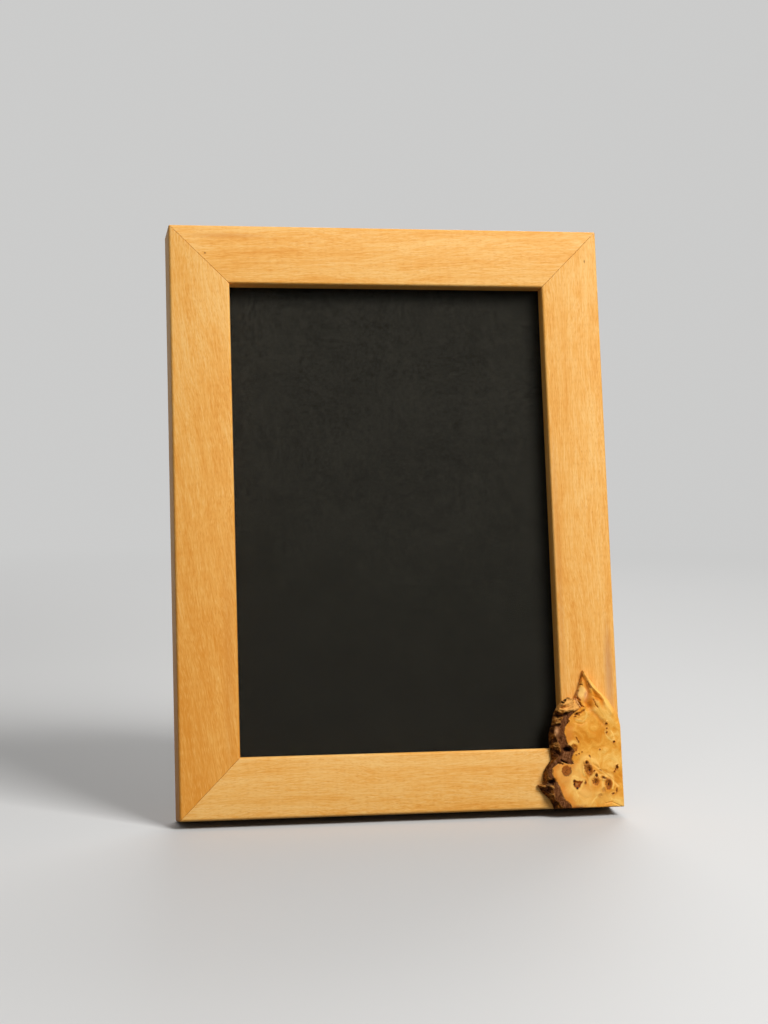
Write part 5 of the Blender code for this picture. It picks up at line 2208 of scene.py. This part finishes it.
@dataclass
class Studio:
    """A pale floor and backdrop, three soft lamps, the main one from the upper right, and the camera."""

    leaning: Space
    floor_size: float = 12.0
    floor_colour: Colour = (0.64, 0.635, 0.625)
    floor_bounce: float = 0.12
    floor_fade: tuple[float, float] = (0.35, 1.9)
    camera_place: Span = (-156.87 * MM, -821.26 * MM, 8.71 * MM)
    camera_pitch: float = -2.470
    camera_turn: float = -10.396
    lens_mm: float = 71.36
    sensor_mm: float = 36.0
    key_place: Span = (0.76, -1.16, 1.28)
    key_size: float = 0.75
    key_power: float = 33.7
    fill_place: Span = (-0.6, -1.5, 1.8)
    fill_power: float = 4.0
    soft_size: float = 1.0
    rear_place: Span = (0.5, 1.5, 1.1)
    rear_power: float = 12.0
    ambient: float = 0.17
    background: Colour = (0.60, 0.60, 0.595)

    def build(self) -> None:
        """Builds the floor, the light and the camera."""
        self.lay_floor()
        self.light("key", self.key_place, self.key_size, self.key_power)
        self.light("fill", self.fill_place, self.soft_size, self.fill_power)
        self.light("rear", self.rear_place, self.soft_size, self.rear_power)
        self.fill_world()
        self.set_camera()
        bpy.context.scene.view_settings.view_transform = "Standard"

    def lay_floor(self) -> None:
        """Lays the pale floor under the frame."""
        clear_bench()
        bpy.ops.mesh.primitive_plane_add(size=self.floor_size, location=(0, 0, 0))
        floor = bpy.context.active_object
        floor.name = "floor"
        surface = Surface("pale_floor", roughness=0.6, specular=0.2)
        dim = tuple(self.floor_bounce * part for part in self.floor_colour)
        surface.colour(surface.mix(self.seen(surface, 1.0), dim, self.floor_colour))
        reach = surface.add("ShaderNodeVectorMath", surface.place(), operation="LENGTH").outputs["Value"]
        near, far = (distance / MM for distance in self.floor_fade)
        glow = surface.add("ShaderNodeEmission", (*self.background, 1)).outputs[0]
        share = self.seen(surface, surface.steps(reach, near, far))
        blend = surface.add("ShaderNodeMixShader", share, surface.shader.outputs[0], glow).outputs[0]
        surface.links.new(blend, surface.nodes["Material Output"].inputs["Surface"])
        floor.data.materials.append(surface.material)

    def seen(self, surface: Surface, share: object) -> Socket:
        """A share that only what is looked at gets, straight, in a reflection or through glass.

        Args:
            surface: The material under construction.
            share: The share, a socket or a number.

        Returns:
            The share, or 0 for light that bounces off.
        """
        rays = surface.add("ShaderNodeLightPath").outputs
        looks = surface.math("MAXIMUM", rays["Is Camera Ray"], rays["Is Glossy Ray"])
        looks = surface.math("MAXIMUM", looks, rays["Is Transmission Ray"])
        return surface.math("MULTIPLY", share, looks)

    def light(self, name: str, place: Span, size: float, power: float) -> None:
        """Hangs a square lamp that looks at the middle of the frame.

        Args:
            name: The lamp's name.
            place: Where it hangs.
            size: Its side.
            power: Its power in watts.
        """
        data = bpy.data.lights.new(name, "AREA")
        data.size = size
        data.energy = power
        lamp = bpy.data.objects.new(name, data)
        bpy.context.scene.collection.objects.link(lamp)
        target = (CAD_BOX[0] + CAD_BOX[1]) / 2
        lamp.location = place
        lamp.rotation_euler = (target - Vector(place)).to_track_quat("-Z", "Y").to_euler()

    def fill_world(self) -> None:
        """Fills the room: a pale backdrop for the eye, and an even soft light."""
        world = bpy.data.worlds.new("studio")
        bpy.context.scene.world = world
        world.use_nodes = True
        nodes, links = world.node_tree.nodes, world.node_tree.links
        room = nodes["Background"]
        room.inputs["Color"].default_value = (1, 1, 1, 1)
        room.inputs["Strength"].default_value = self.ambient
        seen = nodes.new("ShaderNodeBackground")
        seen.inputs["Color"].default_value = (*self.background, 1)
        path = nodes.new("ShaderNodeLightPath")
        rays = path.outputs["Is Camera Ray"]
        for ray in ("Is Glossy Ray", "Is Transmission Ray"):
            both = nodes.new("ShaderNodeMath")
            both.operation = "MAXIMUM"
            links.new(rays, both.inputs[0])
            links.new(path.outputs[ray], both.inputs[1])
            rays = both.outputs[0]
        choice = nodes.new("ShaderNodeMixShader")
        links.new(rays, choice.inputs[0])
        links.new(room.outputs[0], choice.inputs[1])
        links.new(seen.outputs[0], choice.inputs[2])
        links.new(choice.outputs[0], nodes["World Output"].inputs["Surface"])

    def set_camera(self) -> None:
        """Sets the camera where the photograph's stood."""
        data = bpy.data.cameras.new("camera")
        data.lens = self.lens_mm
        data.sensor_width = self.sensor_mm
        camera = bpy.data.objects.new("camera", data)
        bpy.context.scene.collection.objects.link(camera)
        camera.location = self.leaning.matrix @ Vector(self.camera_place)
        camera.rotation_euler = (math.radians(90 + self.camera_pitch), 0, math.radians(self.camera_turn))
        bpy.context.scene.camera = camera


def main() -> None:
    """Builds the frame's looks piece by piece."""
    logging.basicConfig(level=logging.INFO, format="%(message)s")
    leaning = leaning_space()
    strut = strut_space(leaning)
    pin = leaning.within(leaning.matrix.inverted() @ Vector(record_joint("strut_fold")["pos_m"]))
    nails = CornerNails(leaning)
    buttons = TurnButtons(leaning)
    Moulding(leaning).build([*nails.pockets(), *buttons.holes()])
    BurlSlab(leaning).build(BurlWood().build())
    Panels(
        PictureGlass(),
        CharcoalCard(),
        PressedBoard("foam_board", (0.86, 0.86, 0.83), (0.72, 0.72, 0.69), 1.5),
        PressedBoard("hardboard", (0.22, 0.125, 0.07), (0.11, 0.058, 0.03), 0.9),
    ).dress()
    steel = PlatedSteel("plated_steel").build()
    nails.build(steel)
    buttons.build(steel)
    Hinge(pin, strut).build(steel)
    lean = -strut.matrix.to_euler().x
    StrutLeg(strut).build(OiledBeech("beech_strut", lean, Board(Grain.UPRIGHT, (90, 70, 8), 0.44)).build())
    Studio(leaning).build()


if __name__ == "__main__":
    main()
